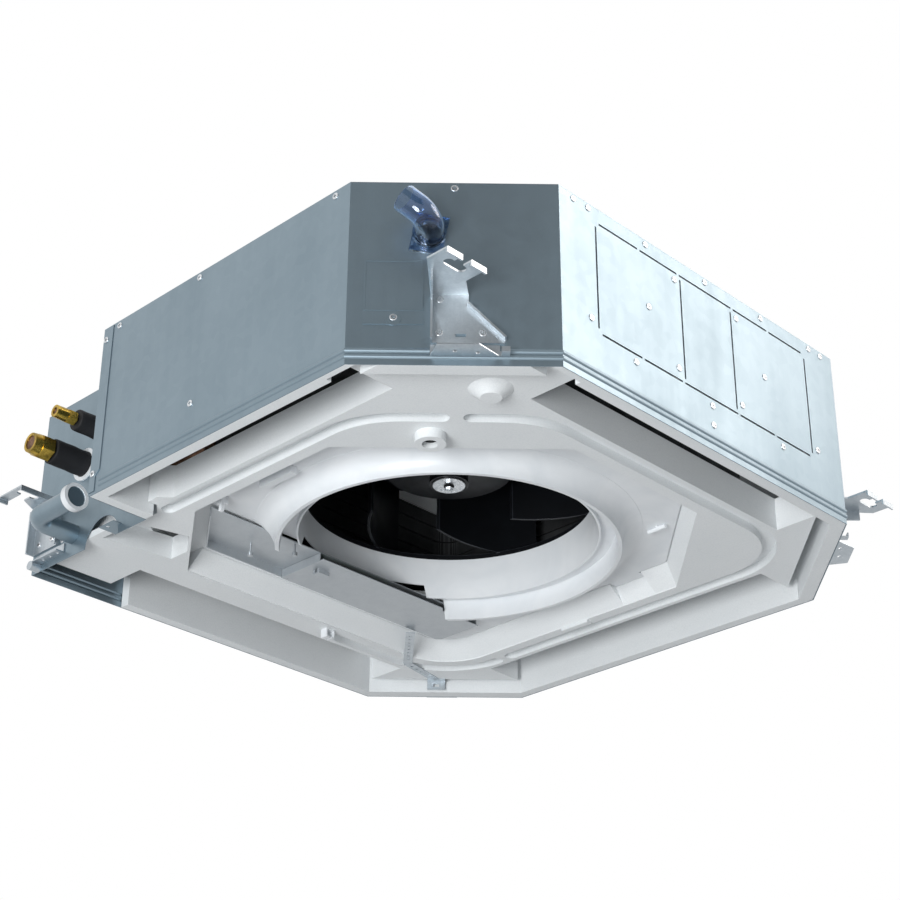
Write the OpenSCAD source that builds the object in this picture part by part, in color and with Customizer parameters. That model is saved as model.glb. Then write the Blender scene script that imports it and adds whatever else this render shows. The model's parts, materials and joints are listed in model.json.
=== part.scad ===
// Ceiling cassette air conditioner body, seen from below in use.
// Origin: centre of the casing on its lower edge, the face that the panel seats on.
// +Z up, +X along the knock-out side, +Y across it. All sizes in millimetres.

/* [Casing] */
// across the flats of the casing
body_w = 840; // [800:1:880]
// height of the casing sides
body_h = 231; // [225:1:240]
// leg of each cut corner
cut = 161; // [155:1:167]
// steel sheet
sheet_t = 1; // [0.8:0.1:1.2]
// piping recess, its plate's distance from the centre plane
notch_x = 336; // [330:1:342]
// piping recess, its start along the left side
notch_y = 184; // [180:1:190]
// raised middle of the roof, radius at its foot
roof_r = 255; // [240:1:270]
// raised middle of the roof, radius at its top
roof_top_r = 236; // [225:1:238]
// raised middle of the roof, height
roof_rise = 14; // [10:0.5:16]
// swage rib, how far it stands out
rib_out = 1.6; // [1.2:0.1:2]
// swage rib, radius of its curve
rib_r = 3.2; // [2.8:0.1:3.6]
// lower swage rib, height of its middle
rib_low = 10.2; // [9:0.1:11]
// upper swage rib, height of its middle
rib_high = 17.4; // [17:0.1:19]
// end strip on the left side, width
strip_w = 18; // [14:0.5:22]
// end strip, thickness
strip_t = 1; // [0.8:0.1:1.4]
// end strip, height of its narrow foot
strip_foot_h = 24; // [20:0.5:28]
// end strip, width of its narrow foot
strip_foot_w = 11; // [9:0.5:13]
// end strip, height of its lower end
strip_z = 4; // [3:0.1:6]

/* [Knock outs] */
// outer columns of slits, distance from the middle
knock_outer = 198; // [190:1:205]
// inner columns of slits, distance from the middle
knock_inner = 48; // [44:1:52]
// lower row of slits
knock_z0 = 68; // [64:1:72]
// upper row of slits
knock_z1 = 212; // [206:0.5:214]
// width of a slit
slit_w = 2.4; // [1.8:0.1:3]
// bridge left between slits
slit_bridge = 7; // [5:0.5:9]
// depth of the dark space behind the slits
knock_back = 7; // [5:0.5:9]
// margin of that space round the slits
knock_margin = 4; // [3:0.5:6]

/* [Screws] */
// casing screw head radius
screw_r = 4.2; // [3.6:0.1:4.8]
// casing screw head radius at its top
screw_top_r = 3.2; // [2.6:0.1:3.4]
// casing screw head height
screw_h = 2.4; // [1.8:0.1:3]
// casing screw recess radius
screw_dip_r = 1.7; // [1.3:0.1:2]
// casing screw recess depth
screw_dip = 1; // [0.6:0.1:1.4]
// screws of the knock-out side, mirrored about its middle
screws_pair = [[235, 224], [210, 224], [110, 224], [59, 200.4], [109, 140.7], [210, 80.7], [136, 57], [59, 82]];
// screws on the middle line of the knock-out side
screws_mid = [[0, 224], [0, 57.2], [0, 32.1]];
// screws of the left side, from its middle towards the front corner
screws_left = [[235, 223.5], [0, 223.5], [-154, 223.5], [0, 53.5]];
// screws of the two rear sides
screws_rear = [[235, 223.5], [0, 223.5], [-235, 223.5], [0, 53.5]];
// screws of the end strip, heights
screws_strip = [212.6, 27];

/* [Foam lining] */
// thickness of the lining at the rim
foam_t = 16; // [14:0.5:18]
// thickness of the lining at the cut corners, rim
foam_corner_t = 20; // [18:0.5:22]
// thickness of the lining at the cut corners, above the pan
foam_deep_t = 44; // [40:1:48]
// thickness of the lining under the roof
foam_top_t = 7; // [5:0.5:9]
// height at which the lining thickens
foam_step_z = 60; // [59:0.5:64]
// clear space between lining and steel
foam_gap = 0.3; // [0.2:0.05:0.5]
// rim made thinner near the front corner, thickness left
foam_thin_t = 9; // [8:0.5:11]
// rim made thinner near the front corner, where it starts
foam_thin_y = 222; // [216:1:228]
// height of that thinner rim
foam_thin_h = 12; // [8:0.5:16]
// start of the lining on the rear left side, from the middle plane
foam_end_x = 194; // [188:1:200]
// hole for the motor in the lining's top, radius
foam_hole_r = 104; // [100:1:110]
// ribs inside the right outlet, thickness
duct_rib_t = 9; // [7:0.5:11]
// ribs inside the right outlet, how far they stand in
duct_rib_out = 22; // [18:1:26]
// ribs inside the right outlet, places along the side
duct_ribs = [-150, 40];

/* [Drain pan] */
// underside of the pan
pan_z0 = 15; // [14:0.5:16]
// top of the pan
pan_z1 = 58; // [56:0.5:59]
// half width of the pan
pan_half = 332; // [328:1:336]
// half width of the square opening in the underside
open_half = 290; // [288:0.5:293]
// front cut of the opening, distance from the centre
open_front_d = 270; // [264:1:273]
// right cut of the opening, distance from the centre
open_right_d = 300; // [298:0.5:304]
// rear corner of the opening, radius
open_rear_r = 76; // [72:1:80]
// sloped wall along the rear sides of the opening, width
cove_w = 28; // [25:1:30]
// sloped wall at the right cut, width
cove_right_w = 14; // [12:1:16]
// stepped stretches of the sloped wall beside the right cut, far end and width
cove_steps = [[-100, 30], [-45, 15]];
// level of the shelf over the opening
shelf_z = 40; // [38:0.5:42]
// round hole in the shelf, radius
shelf_r = 229; // [228:0.5:231]
// left cut of the opening, its start on the left side
open_left_y = 147; // [140:1:152]
// left cut of the opening, its end on the rear left side
open_left_x = 186; // [180:1:192]
// condensate channel round the coil, inner half width
channel_in = 236; // [235:0.5:237]
// condensate channel round the coil, outer half width
channel_out = 294; // [291:0.5:297]
// condensate channel, level of its floor
channel_z = 46; // [44:0.5:48]
// end of the left outlet at the front corner
duct_left_end = 240; // [234:1:246]
// end of the right outlet at the front corner
duct_right_end = 212; // [206:1:218]
// end of the outlets at the other corners
duct_end = 240; // [234:1:246]
// gap between a corner of the pan and the lining
pan_gap = 0.8; // [0.5:0.1:1.2]
// right corner of the pan, distance from the centre
pan_right_d = 446; // [442:1:450]
// rear corner of the pan, distance from the centre
pan_rear_d = 446; // [442:1:450]
// centre line of the groove, half width
groove_half = 315.5; // [313:0.5:317]
// centre line of the groove at the front corner, distance from the centre
groove_front_d = 341; // [337:1:345]
// radius of the groove's curve at the right and rear corners
groove_bend = 102; // [95:1:110]
// radius of the groove's curve beside the front corner
groove_front_bend = 118; // [105:1:125]
// half width of the groove
groove_r = 9.5; // [8.5:0.25:10]
// depth of the groove
groove_depth = 12; // [11:0.25:13]
// far end of the groove on the left side
groove_left_y = 166; // [160:1:170]
// far end of the groove on the rear left side
groove_rear_x = 84; // [78:1:95]
// ends of the groove at the bridge on the front corner, from its middle
bridge_front = [-12, 22];
// bridge across the groove on the rear right side
bridge_rear = [184, 212];
// sheet at the piping corner, its rear edge
tail_y = 394; // [390:1:398]
// sheet at the piping corner, its right edge
tail_x = 231; // [226:1:236]
// sheet at the piping corner, its left edge
tail_left = 333; // [331:0.5:334]
// sheet at the piping corner, top
tail_z1 = 24; // [22:0.5:26]
// corner of the pan beside the left outlet, from inside out
lobe = [[-333, 167], [-346, 167], [-346, 150]];
// recess at the piping corner, corners
pit = [[-322, 226], [-250, 208], [-224, 244], [-224, 276], [-322, 290]];
// level of that recess's ceiling
pit_z = 46; // [42:0.5:48]
// conical boss, place along the front corner
cone_u = 41; // [38:0.5:44]
// conical boss, distance from the centre
cone_d = 405; // [400:1:410]
// conical boss, radius at its foot
cone_r = 25; // [23:0.5:27]
// conical boss, radius of its face
cone_top_r = 12; // [10:0.5:14]
// conical boss, height
cone_h = 11; // [9:0.5:12]
// sump above the conical boss, radius
sump_r = 31; // [30:0.5:33]
// sump above the conical boss, floor level
sump_z = 19; // [18:0.5:21]
// round drain boss, place along the front corner
boss_u = -24; // [-28:1:-20]
// round drain boss, distance from the centre
boss_d = 301; // [298:1:304]
// round drain boss, radius
boss_r = 18; // [16.5:0.5:19]
// round drain boss, bore radius
boss_bore_r = 9.5; // [8.5:0.25:10.5]
// round drain boss, level of its face
boss_z = 3; // [2:0.5:5]
// drain plug, length
plug_l = 22; // [18:1:26]
// drain plug, radius of its head
plug_head_r = 8.6; // [8.2:0.1:9.4]
// drain plug, distance of its face inside the boss
plug_deep = 7; // [5:0.5:9]
// bead along the front corner, half length
bead_half = 92; // [86:1:98]
// bead along the front corner, width
bead_w = 5; // [4:0.5:6]
// bead along the front corner, height
bead_h = 4; // [3:0.5:5]
// bead along the front corner, distance of its middle from the centre
bead_d = 452; // [450:0.5:454]
// long white bar on the rear right strip, length
bar_l = 46; // [40:1:52]
// long white bar, width
bar_w = 8; // [6:0.5:10]
// long white bar, height
bar_h = 4; // [3:0.5:5]
// long white bar, place along the side
bar_y = 20; // [10:1:30]

/* [Air inlet] */
// inner radius of the throat
throat_r = 185; // [183:0.5:186]
// radius of the throat's lower lip
lip_r = 190; // [189:0.5:192]
// level of the throat's lower lip
lip_z = 31; // [29:0.5:33]
// level at which the throat becomes straight
lip_top_z = 60; // [56:0.5:62]
// level of the throat's upper end
throat_z1 = 86; // [84:0.5:88]
// wall of the inlet moulding
inlet_t = 2.5; // [2:0.1:3]
// outer ring, radius at its lower edge
ring_r = 213.5; // [212:0.5:215]
// outer ring, level of its lower edge
ring_z = 10.5; // [10:0.25:11]
// outer ring, radius at its root
ring_root_r = 211; // [209:0.5:212]
// outer ring, width of its lower edge
ring_edge = 5; // [4:0.25:6]
// outer ring, radius of its outside curve
ring_curve = 26.5; // [25:0.5:26.5]
// gap between the inlet moulding and the pan
inlet_gap = 2; // [1:0.25:3]
// level up to which the moulding is cut away over the control box
inlet_cut_z = 48; // [46:0.5:50]

/* [Fan] */
// fan outer radius
fan_r = 222; // [218:0.5:224]
// number of blades
blades = 7; // [6:1:9]
// blade thickness
blade_t = 3.2; // [2.6:0.1:3.6]
// blade outer radius
blade_out_r = 220; // [216:0.5:221]
// blade inner radius
blade_in_r = 118; // [116:0.5:122]
// blade curve radius
blade_curve = 170; // [168:1:178]
// lower edge of the blades
blade_z0 = 99; // [97:0.5:100]
// sweep of a blade round the axis
blade_sweep = 40; // [38:0.5:42]
// back plate level
back_z = 205; // [200:0.5:208]
// moulding wall
fan_t = 2.5; // [2:0.1:3]
// collar inner radius
collar_r = 189; // [188.5:0.25:190]
// collar lower edge
collar_z0 = 72; // [70:0.5:74]
// collar upper end
collar_z1 = 92; // [90:0.5:93]
// shroud level at its outer edge
shroud_z = 103; // [102:0.5:105]
// middle of the shroud's slope, radius
shroud_mid_r = 198; // [195:0.5:201]
// middle of the shroud's slope, level
shroud_mid_z = 98; // [97:0.5:99]
// hub cup, radius at the back plate
cup_r = 112; // [110:0.5:114]
// hub cup, radius low down
cup_low_r = 84; // [82:0.5:86]
// hub cup, level where it turns in
cup_low_z = 130; // [128:0.5:132]
// hub cup, level of its floor beside the boss
cup_floor_z = 118; // [116:0.5:120]
// hub boss radius
hub_r = 25; // [24:0.5:27]
// hub boss lower face
hub_z0 = 106.5; // [106:0.25:108]
// hub boss upper face
hub_z1 = 126; // [124:0.5:128]
// washer radius
washer_r = 21; // [19:0.5:22]
// washer thickness
washer_t = 2; // [1.5:0.25:2.5]
// rubber ring radius
grommet_r = 7; // [6.5:0.25:8]
// rubber ring thickness
grommet_t = 3; // [2.5:0.25:3.5]
// nut, across its corners, radius
fan_nut_r = 5.8; // [5.5:0.1:6.2]
// nut height
fan_nut_h = 4.5; // [4:0.25:5]
// shaft radius
shaft_r = 5; // [4.5:0.25:5.5]
// shaft, radius of its threaded end
thread_r = 3; // [2.75:0.25:3.25]
// shaft, how far it stands out of the nut
shaft_tip = 0.8; // [0.5:0.1:2]
// motor body radius
motor_r = 66; // [62:0.5:70]
// motor body lower face
motor_z0 = 136; // [134:0.5:138]
// motor body upper face
motor_z1 = 212; // [208:0.5:214]
// motor neck radius
motor_neck_r = 17; // [15:0.5:19]
// motor neck lower face
motor_neck_z = 130; // [129:0.5:131]
// motor bore over the shaft, clearance
run_gap = 0.05; // [0.02:0.01:0.09]
// motor foot plate radius
foot_r = 92; // [88:0.5:96]
// motor foot plate thickness
foot_t = 3; // [2.5:0.25:3.5]
// radius of the circle of rubber feet
foot_ring = 80; // [78:0.5:82]
// rubber foot radius
rubber_r = 9; // [8:0.5:10]
// number of rubber feet
feet = 4; // [3:1:6]
// motor lead plug, length width and height
motor_plug = [26, 18, 12];

/* [Coil] */
// inner half width of the coil
coil_in = 239; // [238:0.5:240]
// outer half width of the coil
coil_out = 287; // [285:0.5:289]
// inner corner radius
coil_bend = 30; // [26:1:34]
// lower end of the coil
coil_z0 = 49; // [48.5:0.25:50]
// end of the coil on the left side
coil_end_y = 120; // [112:1:126]
// end of the coil on the rear left side
coil_end_x = 120; // [112:1:126]
// tube plate thickness
tube_plate_t = 1.5; // [1.2:0.1:2]
// tube plate, how far it stands round the fins
tube_plate_lap = 2; // [1.5:0.25:2.5]
// tube radius
tube_r = 3.5; // [3:0.25:4]
// distance between the rows of tubes
row_step = 21; // [19:0.5:23]
// number of return bends up an end
bends = 5; // [4:1:6]
// height between return bends
bend_step = 32; // [30:0.5:33]
// height of the lowest return bend
bend_z = 66; // [62:0.5:68]
// straight part of a return bend
bend_straight = 8; // [6:0.5:10]
// groove between the stacks of fins, width
fin_gap = 2; // [1.5:0.1:2.5]
// groove between the stacks of fins, depth
fin_deep = 4; // [3:0.25:5]
// number of stacks of fins up the coil
fin_stacks = 8; // [6:1:10]

/* [Pipes] */
// gas pipe radius
gas_r = 7.95; // [7.5:0.05:8]
// gas pipe, place across
gas_y = 323; // [320:0.5:326]
// gas pipe, height
gas_z = 125; // [122:0.5:128]
// gas sleeve radius
gas_sleeve_r = 17; // [16:0.25:18]
// gas sleeve, outer end
gas_sleeve_x = 390; // [386:0.5:393]
// gas nut, radius across its corners
gas_nut_r = 16.7; // [16:0.1:17]
// gas nut, outer end
gas_nut_x = 421; // [418:0.5:424]
// gas nut, length of its six flats
gas_flats = 17; // [15:0.5:19]
// liquid pipe radius
liquid_r = 3.2; // [3:0.05:3.4]
// liquid pipe, place across
liquid_y = 283; // [280:0.5:286]
// liquid pipe, height
liquid_z = 157; // [154:0.5:160]
// liquid sleeve radius
liquid_sleeve_r = 14.5; // [13.5:0.25:15]
// liquid sleeve, outer end
liquid_sleeve_x = 384; // [380:0.5:387]
// liquid nut, radius across its corners
liquid_nut_r = 9.8; // [9.4:0.1:10.2]
// liquid nut, outer end
liquid_nut_x = 416; // [413:0.5:419]
// liquid nut, length of its six flats
liquid_flats = 12; // [10:0.5:14]
// clearance between nut and pipe
nut_gap = 0.08; // [0.05:0.01:0.1]
// flared stop on a pipe, height
flare_h = 1.2; // [1:0.1:1.4]
// gap between a nut and its sleeve
sleeve_gap = 3; // [2:0.5:4]
// header radius
header_r = 9.5; // [9:0.5:10.5]
// header, place along the left side
header_y = 158; // [154:0.5:162]
// header, height of its lower end
header_z0 = 76; // [72:0.5:80]
// header, height of its upper end
header_z1 = 202; // [198:0.5:206]
// bend radius of a pipe
pipe_bend = 26; // [24:0.5:28]
// distributor radius
spread_r = 9; // [8:0.5:10]
// distributor length
spread_l = 28; // [26:0.5:32]
// collar on the piping plate, width round a sleeve
collar_w = 5; // [4:0.5:6]
// collar on the piping plate, thickness
collar_t = 3; // [2.5:0.25:3.5]
// clearance round a sleeve
sleeve_fit = 0.4; // [0.3:0.05:0.6]

/* [Test port] */
// cap radius
cap_r = 17.5; // [16.5:0.25:18.5]
// cap depth
cap_t = 9; // [8:0.5:10]
// recess in the cap's face, radius
cap_face_r = 13; // [12:0.25:14]
// recess in the cap's face, depth
cap_face_t = 1.2; // [0.8:0.1:1.6]
// port pipe radius
port_r = 12.5; // [11.5:0.25:13.5]
// port pipe wall
port_wall = 2; // [1.5:0.1:2.5]
// port, place along X
port_x = 397; // [394:0.5:400]
// port, height
port_z = 30; // [28:0.5:33]
// port, place of the cap's face
port_y = 243; // [240:0.5:247]
// port, where it leaves the plate
port_root_y = 334; // [330:0.5:338]
// port bend radius
port_bend = 22; // [20:0.5:24]
// semicircular cut in the piping plate, radius
plate_cut_r = 34; // [32:0.5:36]
// semicircular cut in the piping plate, place across
plate_cut_y = 272; // [268:0.5:276]
// tab under the piping plate, length width and height
tab = [26, 30, 10];

/* [Hanging] */
// spacing of the hanging bolts along X
hang_x = 760; // [758:0.5:762]
// spacing of the hanging bolts along Y
hang_y = 760; // [758:0.5:762]
// half width of a hanging slot
slot_r = 6; // [5.8:0.1:6.2]
// length of a hanging slot
slot_l = 30; // [28:0.5:32]
// mouth of a hanging slot
mouth_w = 13; // [12:0.25:14]
// steel of the hangers
hang_t = 2.3; // [2:0.1:2.6]
// level of the hanging plate's underside
hang_z = 86; // [84:0.5:88]
// left edge of a hanger on the corner
hang_left = 25; // [23:0.5:27]
// right edge of a hanger's neck on the corner
hang_right = 15.6; // [14.5:0.1:17]
// length of a prong, from the slot's centre
prong_l = 18; // [17:0.5:19]
// half width over both prongs
prong_w = 29; // [27.5:0.5:30]
// height of a prong's turned edge
prong_h = 5; // [4:0.25:6]
// lower corner of the gusset, place along the corner
gusset_u = 55; // [52:0.5:58]
// lower corner of the gusset, height
gusset_z = 31; // [29:0.5:33]
// upper corner of the gusset, height
gusset_top = 73; // [70:0.5:75]
// gusset flange width
gusset_w = 9; // [7:0.5:11]
// lower edge of the hanger's back plate
hang_foot_z = 26; // [25:0.25:28]
// depth of the side flange
flange_w = 13; // [11:0.5:15]
// hanger screws, places along the corner and heights
hang_screws = [[-15, 78], [-15.5, 37], [30.4, 37]];
// lanced clip in a hanger's back plate, width height and depth
lance = [11, 4, 3];
// lanced clip, place
lance_at = [7, 33];
// lower plate, level of its underside
shelf_low_z = 9.6; // [9:0.1:10.5]
// lower plate, its two ends on the corner
shelf_ends = [-25, 48];
// lower plate, ends of its outer edge
shelf_outer = [-18, 26];
// lower plate, how far it stands out
shelf_out = 25; // [22:0.5:27]
// lower plate, thickness
shelf_t = 1.6; // [1.4:0.1:2]
// lower plate, height of its back leg
shelf_back = 13; // [11:0.5:15]
// lower plate, holes
shelf_holes = [[1, 11], [25, 8]];
// lower plate, hole radius
shelf_hole_r = 2.6; // [2.2:0.1:3]
// hook beside the lower plate, place along the corner
hook_u = 54; // [52:0.5:57]
// hook, width
hook_w = 9; // [7:0.5:10]
// hook, how far it stands out
hook_out = 12; // [10:0.5:14]
// hook, height of its lip
hook_lip = 6; // [5:0.5:7]
// piping corner hanger, its two edges
left_hang_y = [365, 420];
// piping corner lower plate, its two ends
left_shelf_y = [350, 411];
// bolt beside the piping corner lower plate, radius
left_bolt_r = 6; // [5:0.5:7]
// bolt beside the piping corner lower plate, length
left_bolt_l = 14; // [12:0.5:16]

/* [Service cover] */
// cover, left edge on the front corner
cover_left = -94; // [-96:1:-90]
// cover, right edge on the front corner
cover_right = -34.5; // [-36:0.5:-33]
// cover, lower edge
cover_z0 = 68; // [66:0.5:70]
// cover, upper edge
cover_z1 = 128; // [125:0.5:131]
// cover, sheet
cover_t = 1; // [0.8:0.1:1.4]
// cover, raised border width
cover_border = 2; // [1.5:0.25:2.5]
// cover, lower flap below the edge
cover_flap = 19; // [17:0.5:21]
// screw under the cover
cover_screw = [-64, 56.3];

/* [Drain outlet] */
// outlet, place along the front corner
drain_u = -27; // [-29:0.5:-25]
// outlet, height
drain_z = 163; // [160:0.5:166]
// outlet, outer radius, which the drain hose slips over
drain_r = 16; // [15.5:0.1:16.5]
// outlet wall
drain_t = 1.4; // [1.2:0.1:1.8]
// outlet stub length
drain_stub = 13; // [11:0.5:14]
// outlet bend radius
drain_bend = 18; // [17.5:0.5:20]
// outlet nozzle length
drain_l = 18; // [15:0.5:22]
// outlet lean from level
drain_lean = 41; // [38:1:46]
// outlet flange, half width and half height
drain_flange = [18, 24];
// outlet flange thickness
drain_flange_t = 3; // [2.5:0.25:3.5]
// ring round the foot of the outlet, width
drain_rim = 2.5; // [1.5:0.25:3]

/* [Drain pump] */
// pump body radius
pump_r = 25; // [23:0.5:27]
// pump body lower face
pump_z0 = 66; // [64:0.5:68]
// pump body upper face
pump_z1 = 112; // [108:0.5:116]
// pump throat outer radius
pump_throat_r = 15; // [14:0.5:16]
// pump throat lower end
pump_throat_z = 24; // [23:0.5:26]
// pump wall
pump_wall = 2; // [1.5:0.1:2.5]
// impeller radius
impeller_r = 11.5; // [11:0.25:12]
// impeller height
impeller_h = 9; // [7:0.5:11]
// impeller lower face
impeller_z = 30; // [28:0.5:32]
// impeller vane thickness
vane_t = 1.6; // [1.4:0.1:2]
// number of vanes
vanes = 4; // [3:1:6]
// pump shaft radius
pump_shaft_r = 2; // [1.5:0.1:2.5]
// pump motor radius
pump_motor_r = 21; // [20:0.5:23]
// pump motor height
pump_motor_h = 34; // [30:1:38]
// pump outlet hose radius
hose_r = 8; // [7:0.5:9]
// float radius
float_r = 8; // [7:0.5:9]
// float height
float_h = 12; // [10:0.5:14]
// float lower face at rest
float_z = 24; // [22:0.5:26]
// float stem radius
stem_r = 2.2; // [2:0.1:2.5]
// float stem lower end
stem_z = 21; // [20:0.5:22]
// float, distance from the pump's axis
float_off = 29; // [28:0.5:31]
// pocket for the float in the pan, radius
float_well_r = 11; // [10.5:0.5:12]
// pump hanging plate thickness
pump_plate_t = 1.5; // [1.2:0.1:2]

/* [Control box] */
// lower face of the cover
box_z0 = 21; // [20:0.5:22]
// underside of the box's base
box_base_z = 33; // [32:0.5:34]
// sheet of the box
box_t = 1.2; // [1:0.1:1.4]
// corners of the box
box_pts = [[-262, 153], [-206, 229], [208, 229], [214, 223], [214, 153]];
// cover, its left end
box_lid_x = -80; // [-86:1:-74]
// cover, near right corner, past the box
box_lid_near = [138, 146];
// gap between cover and box walls
box_gap = 0.4; // [0.3:0.05:0.6]
// feet of the box under the pan
box_feet = [[-226, 178], [-190, 206], [196, 176], [196, 206]];
// circuit board, length width and thickness
board = [118, 54, 1.6];
// circuit board, corner nearest the origin
board_at = [-66, 162];
// circuit board, height of its underside
board_z = 27; // [26:0.25:27.5]
// parts on the board: place, length width height
board_parts = [[-58, 168, 22, 16, 2.6], [-30, 170, 14, 14, 2.6], [-8, 190, 26, 12, 2.6], [24, 168, 16, 26, 2.6]];
// terminal block, length width and height
terminal = [86, 22, 8];
// terminal block, corner nearest the origin
terminal_at = [92, 196];
// number of ways in the terminal block
ways = 6; // [4:1:8]
// terminal screw radius
way_r = 3; // [2.5:0.25:3.5]
// support pins in the open end of the box
standoffs = [[-159, 198], [-119, 158]];
// head of a support pin, radius
standoff_r = 3.5; // [3:0.25:4]
// head of a support pin, height
standoff_l = 5; // [4:0.5:6]
// support pin radius
pin_r = 1.4; // [1.2:0.1:1.8]
// support pin length
pin_l = 17; // [15:0.5:18]
// cover screws, places along X
lid_screws = [-72, 6, 82, 150];
// cover screws, distance from the box's edge
lid_screw_in = 4; // [3.5:0.25:5]
// small screw radius
small_r = 2.2; // [1.8:0.1:2.6]
// small screw height
small_h = 1.4; // [1.2:0.1:2]
// wire saddle, length width and height
saddle = [18, 4, 6];
// wire saddle, place
saddle_at = [-66, 170];

/* [Clips and strap] */
// wire clip, length width and height
clip = [15, 12, 13];
// wire clip wall
clip_t = 2; // [1.5:0.25:2.5]
// wire clip on the rear left strip, place
clip_at = [64, 297];
// pin clip in the opening, place
pin_clip_at = [-270, 122];
// pin clip, length width and height
pin_clip = [10, 10, 22];
// support rail in the opening, ends
rail_a = [-262, 62];
// support rail in the opening, length width and height
rail = [58, 9, 10];
// strap width
strap_w = 13; // [11:0.5:15]
// strap thickness
strap_t = 1.2; // [1:0.1:1.5]
// strap hole radius
strap_hole_r = 2; // [1.7:0.1:2.4]
// strap hole spacing
strap_step = 12; // [11:0.5:13]
// strap on the pan, its two ends
strap_a = [156, 226];
// strap on the pan, corner
strap_b = [233, 310];
// strap on the pan, outer end
strap_c = [308, 326];
// strap hook at the rear corner, width
strap_hook_w = 26; // [22:0.5:30]
// strap hook, level of its lower end
strap_hook_z = 2; // [1:0.5:4]
// air sensor radius
sensor_r = 3; // [2.5:0.25:3.5]
// air sensor length
sensor_l = 28; // [24:1:32]
// air sensor, place
sensor_at = [168, -188];

/* [Hidden] */
$fa = 6;
$fs = 0.8;
over = body_w / 1000;
half = body_w / 2;
root2 = sqrt(2);
turn = 45;
flat_d = (2 * half - cut) / root2;
lean = tan(turn / 2);
roof_z = body_h + sheet_t;
lining_top = body_h - foam_gap;
tube_z = [for (i = [0:bends - 1]) bend_z + i * bend_step];
coil_mid = (coil_in + coil_out) / 2;
coil_z1 = lining_top - foam_top_t - foam_gap;
box_cut_y = box_pts[0][1] - box_gap;
hex_sides = 6;
ring_out_r = ring_r + ring_edge + ring_curve;
cove_bend_at = open_half - open_rear_r;

function leg(t) = cut + t * (root2 - 1);
function case_pts(t) = [[-half + t, -half + leg(t)], [-half + leg(t), -half + t], [half - leg(t),
  -half + t], [half - t, -half + leg(t)], [half - t, half - leg(t)], [half - leg(t), half - t],
  [-notch_x + t, half - t], [-notch_x + t, notch_y - t], [-half + t, notch_y - t]];
function corner_xy(u, d, sx, sy) = [sx * (d - u) / root2, sy * (d + u) / root2];

module on_side(k) {
  rotate([0, 0, k * turn]) translate([0, k % 2 == 0 ? -half : -flat_d, 0]) children();
}

module rib_bars(x0, x1, r) {
  for (z = [rib_low, rib_high]) translate([x0, rib_r - rib_out, z])
    rotate([0, turn * 2, 0]) cylinder(r = r, h = x1 - x0);
}

// flat side with two pressed ribs; m0 and m1 are 1 where an end is mitred
module side_sheet(x0, x1, m0, m1, plain = 0) {
  a = x0 - m0 * rib_r;
  b = x1 + m1 * rib_r;
  difference() {
    intersection() {
      union() {
        translate([a, 0, 0]) cube([b - a, sheet_t, body_h]);
        rib_bars(a + plain, b, rib_r);
      }
      translate([0, 0, -over]) linear_extrude(body_h + 2 * over)
        polygon([[x0 - m0 * 2 * rib_out * lean, -2 * rib_out], [x1 + m1 * 2 * rib_out * lean,
          -2 * rib_out], [x1 - m1 * sheet_t * lean, sheet_t], [x0 + m0 * sheet_t * lean, sheet_t]]);
    }
    rib_bars(a + plain - (plain > 0 ? -sheet_t : over), b + over, rib_r - sheet_t);
  }
}

module slit(x0, x1, z0, z1) {
  translate([x0 - slit_w / 2, -over, z0 - slit_w / 2])
    cube([x1 - x0 + slit_w, sheet_t + 2 * over, z1 - z0 + slit_w]);
}

module side_left() {
  color("lightsteelblue") on_side(6) side_sheet(-notch_y, half - cut, 0, 1, strip_w + foam_gap);
}

module side_right() {
  window = (knock_outer - knock_inner - 3 * slit_bridge) / 2;
  color("gainsboro") on_side(0) difference() {
    side_sheet(cut - half, half - cut, 1, 1);
    for (s = [-1, 1]) {
      for (x = [knock_outer, knock_inner])
        slit(s * x, s * x, knock_z0 + slit_bridge, knock_z1 - slit_bridge);
      for (z = [knock_z0, knock_z1]) for (i = [0, 1]) {
        a = knock_inner + slit_bridge + i * (window + slit_bridge);
        slit(min(s * a, s * (a + window)), max(s * a, s * (a + window)), z, z);
      }
    }
    for (z = [knock_z0, knock_z1]) slit(-knock_inner, knock_inner, z, z);
  }
}

module side_rear_right() {
  color("silver") on_side(2) side_sheet(cut - half, half - cut, 1, 1);
}

module side_rear_left() {
  color("silver") on_side(4) side_sheet(cut - half, notch_x, 1, 0);
}

module corner_front() {
  color("slategray") on_side(7) difference() {
    side_sheet(-cut / root2, cut / root2, 1, 1);
    translate([drain_u, -over, drain_z]) rotate([-2 * turn, 0, 0])
      cylinder(r = drain_r, h = sheet_t + 2 * over);
  }
}

module corner_right() {
  color("slategray") on_side(1) side_sheet(-cut / root2, cut / root2, 1, 1);
}

module corner_rear() {
  color("slategray") on_side(3) side_sheet(-cut / root2, cut / root2, 1, 1);
}

module pipe_holes(r_gas, r_liquid, x0, x1) {
  for (p = [[gas_y, gas_z, r_gas], [liquid_y, liquid_z, r_liquid]]) translate([-x1, p[0], p[1]])
    rotate([0, turn * 2, 0]) cylinder(r = p[2], h = x1 - x0);
}

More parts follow.
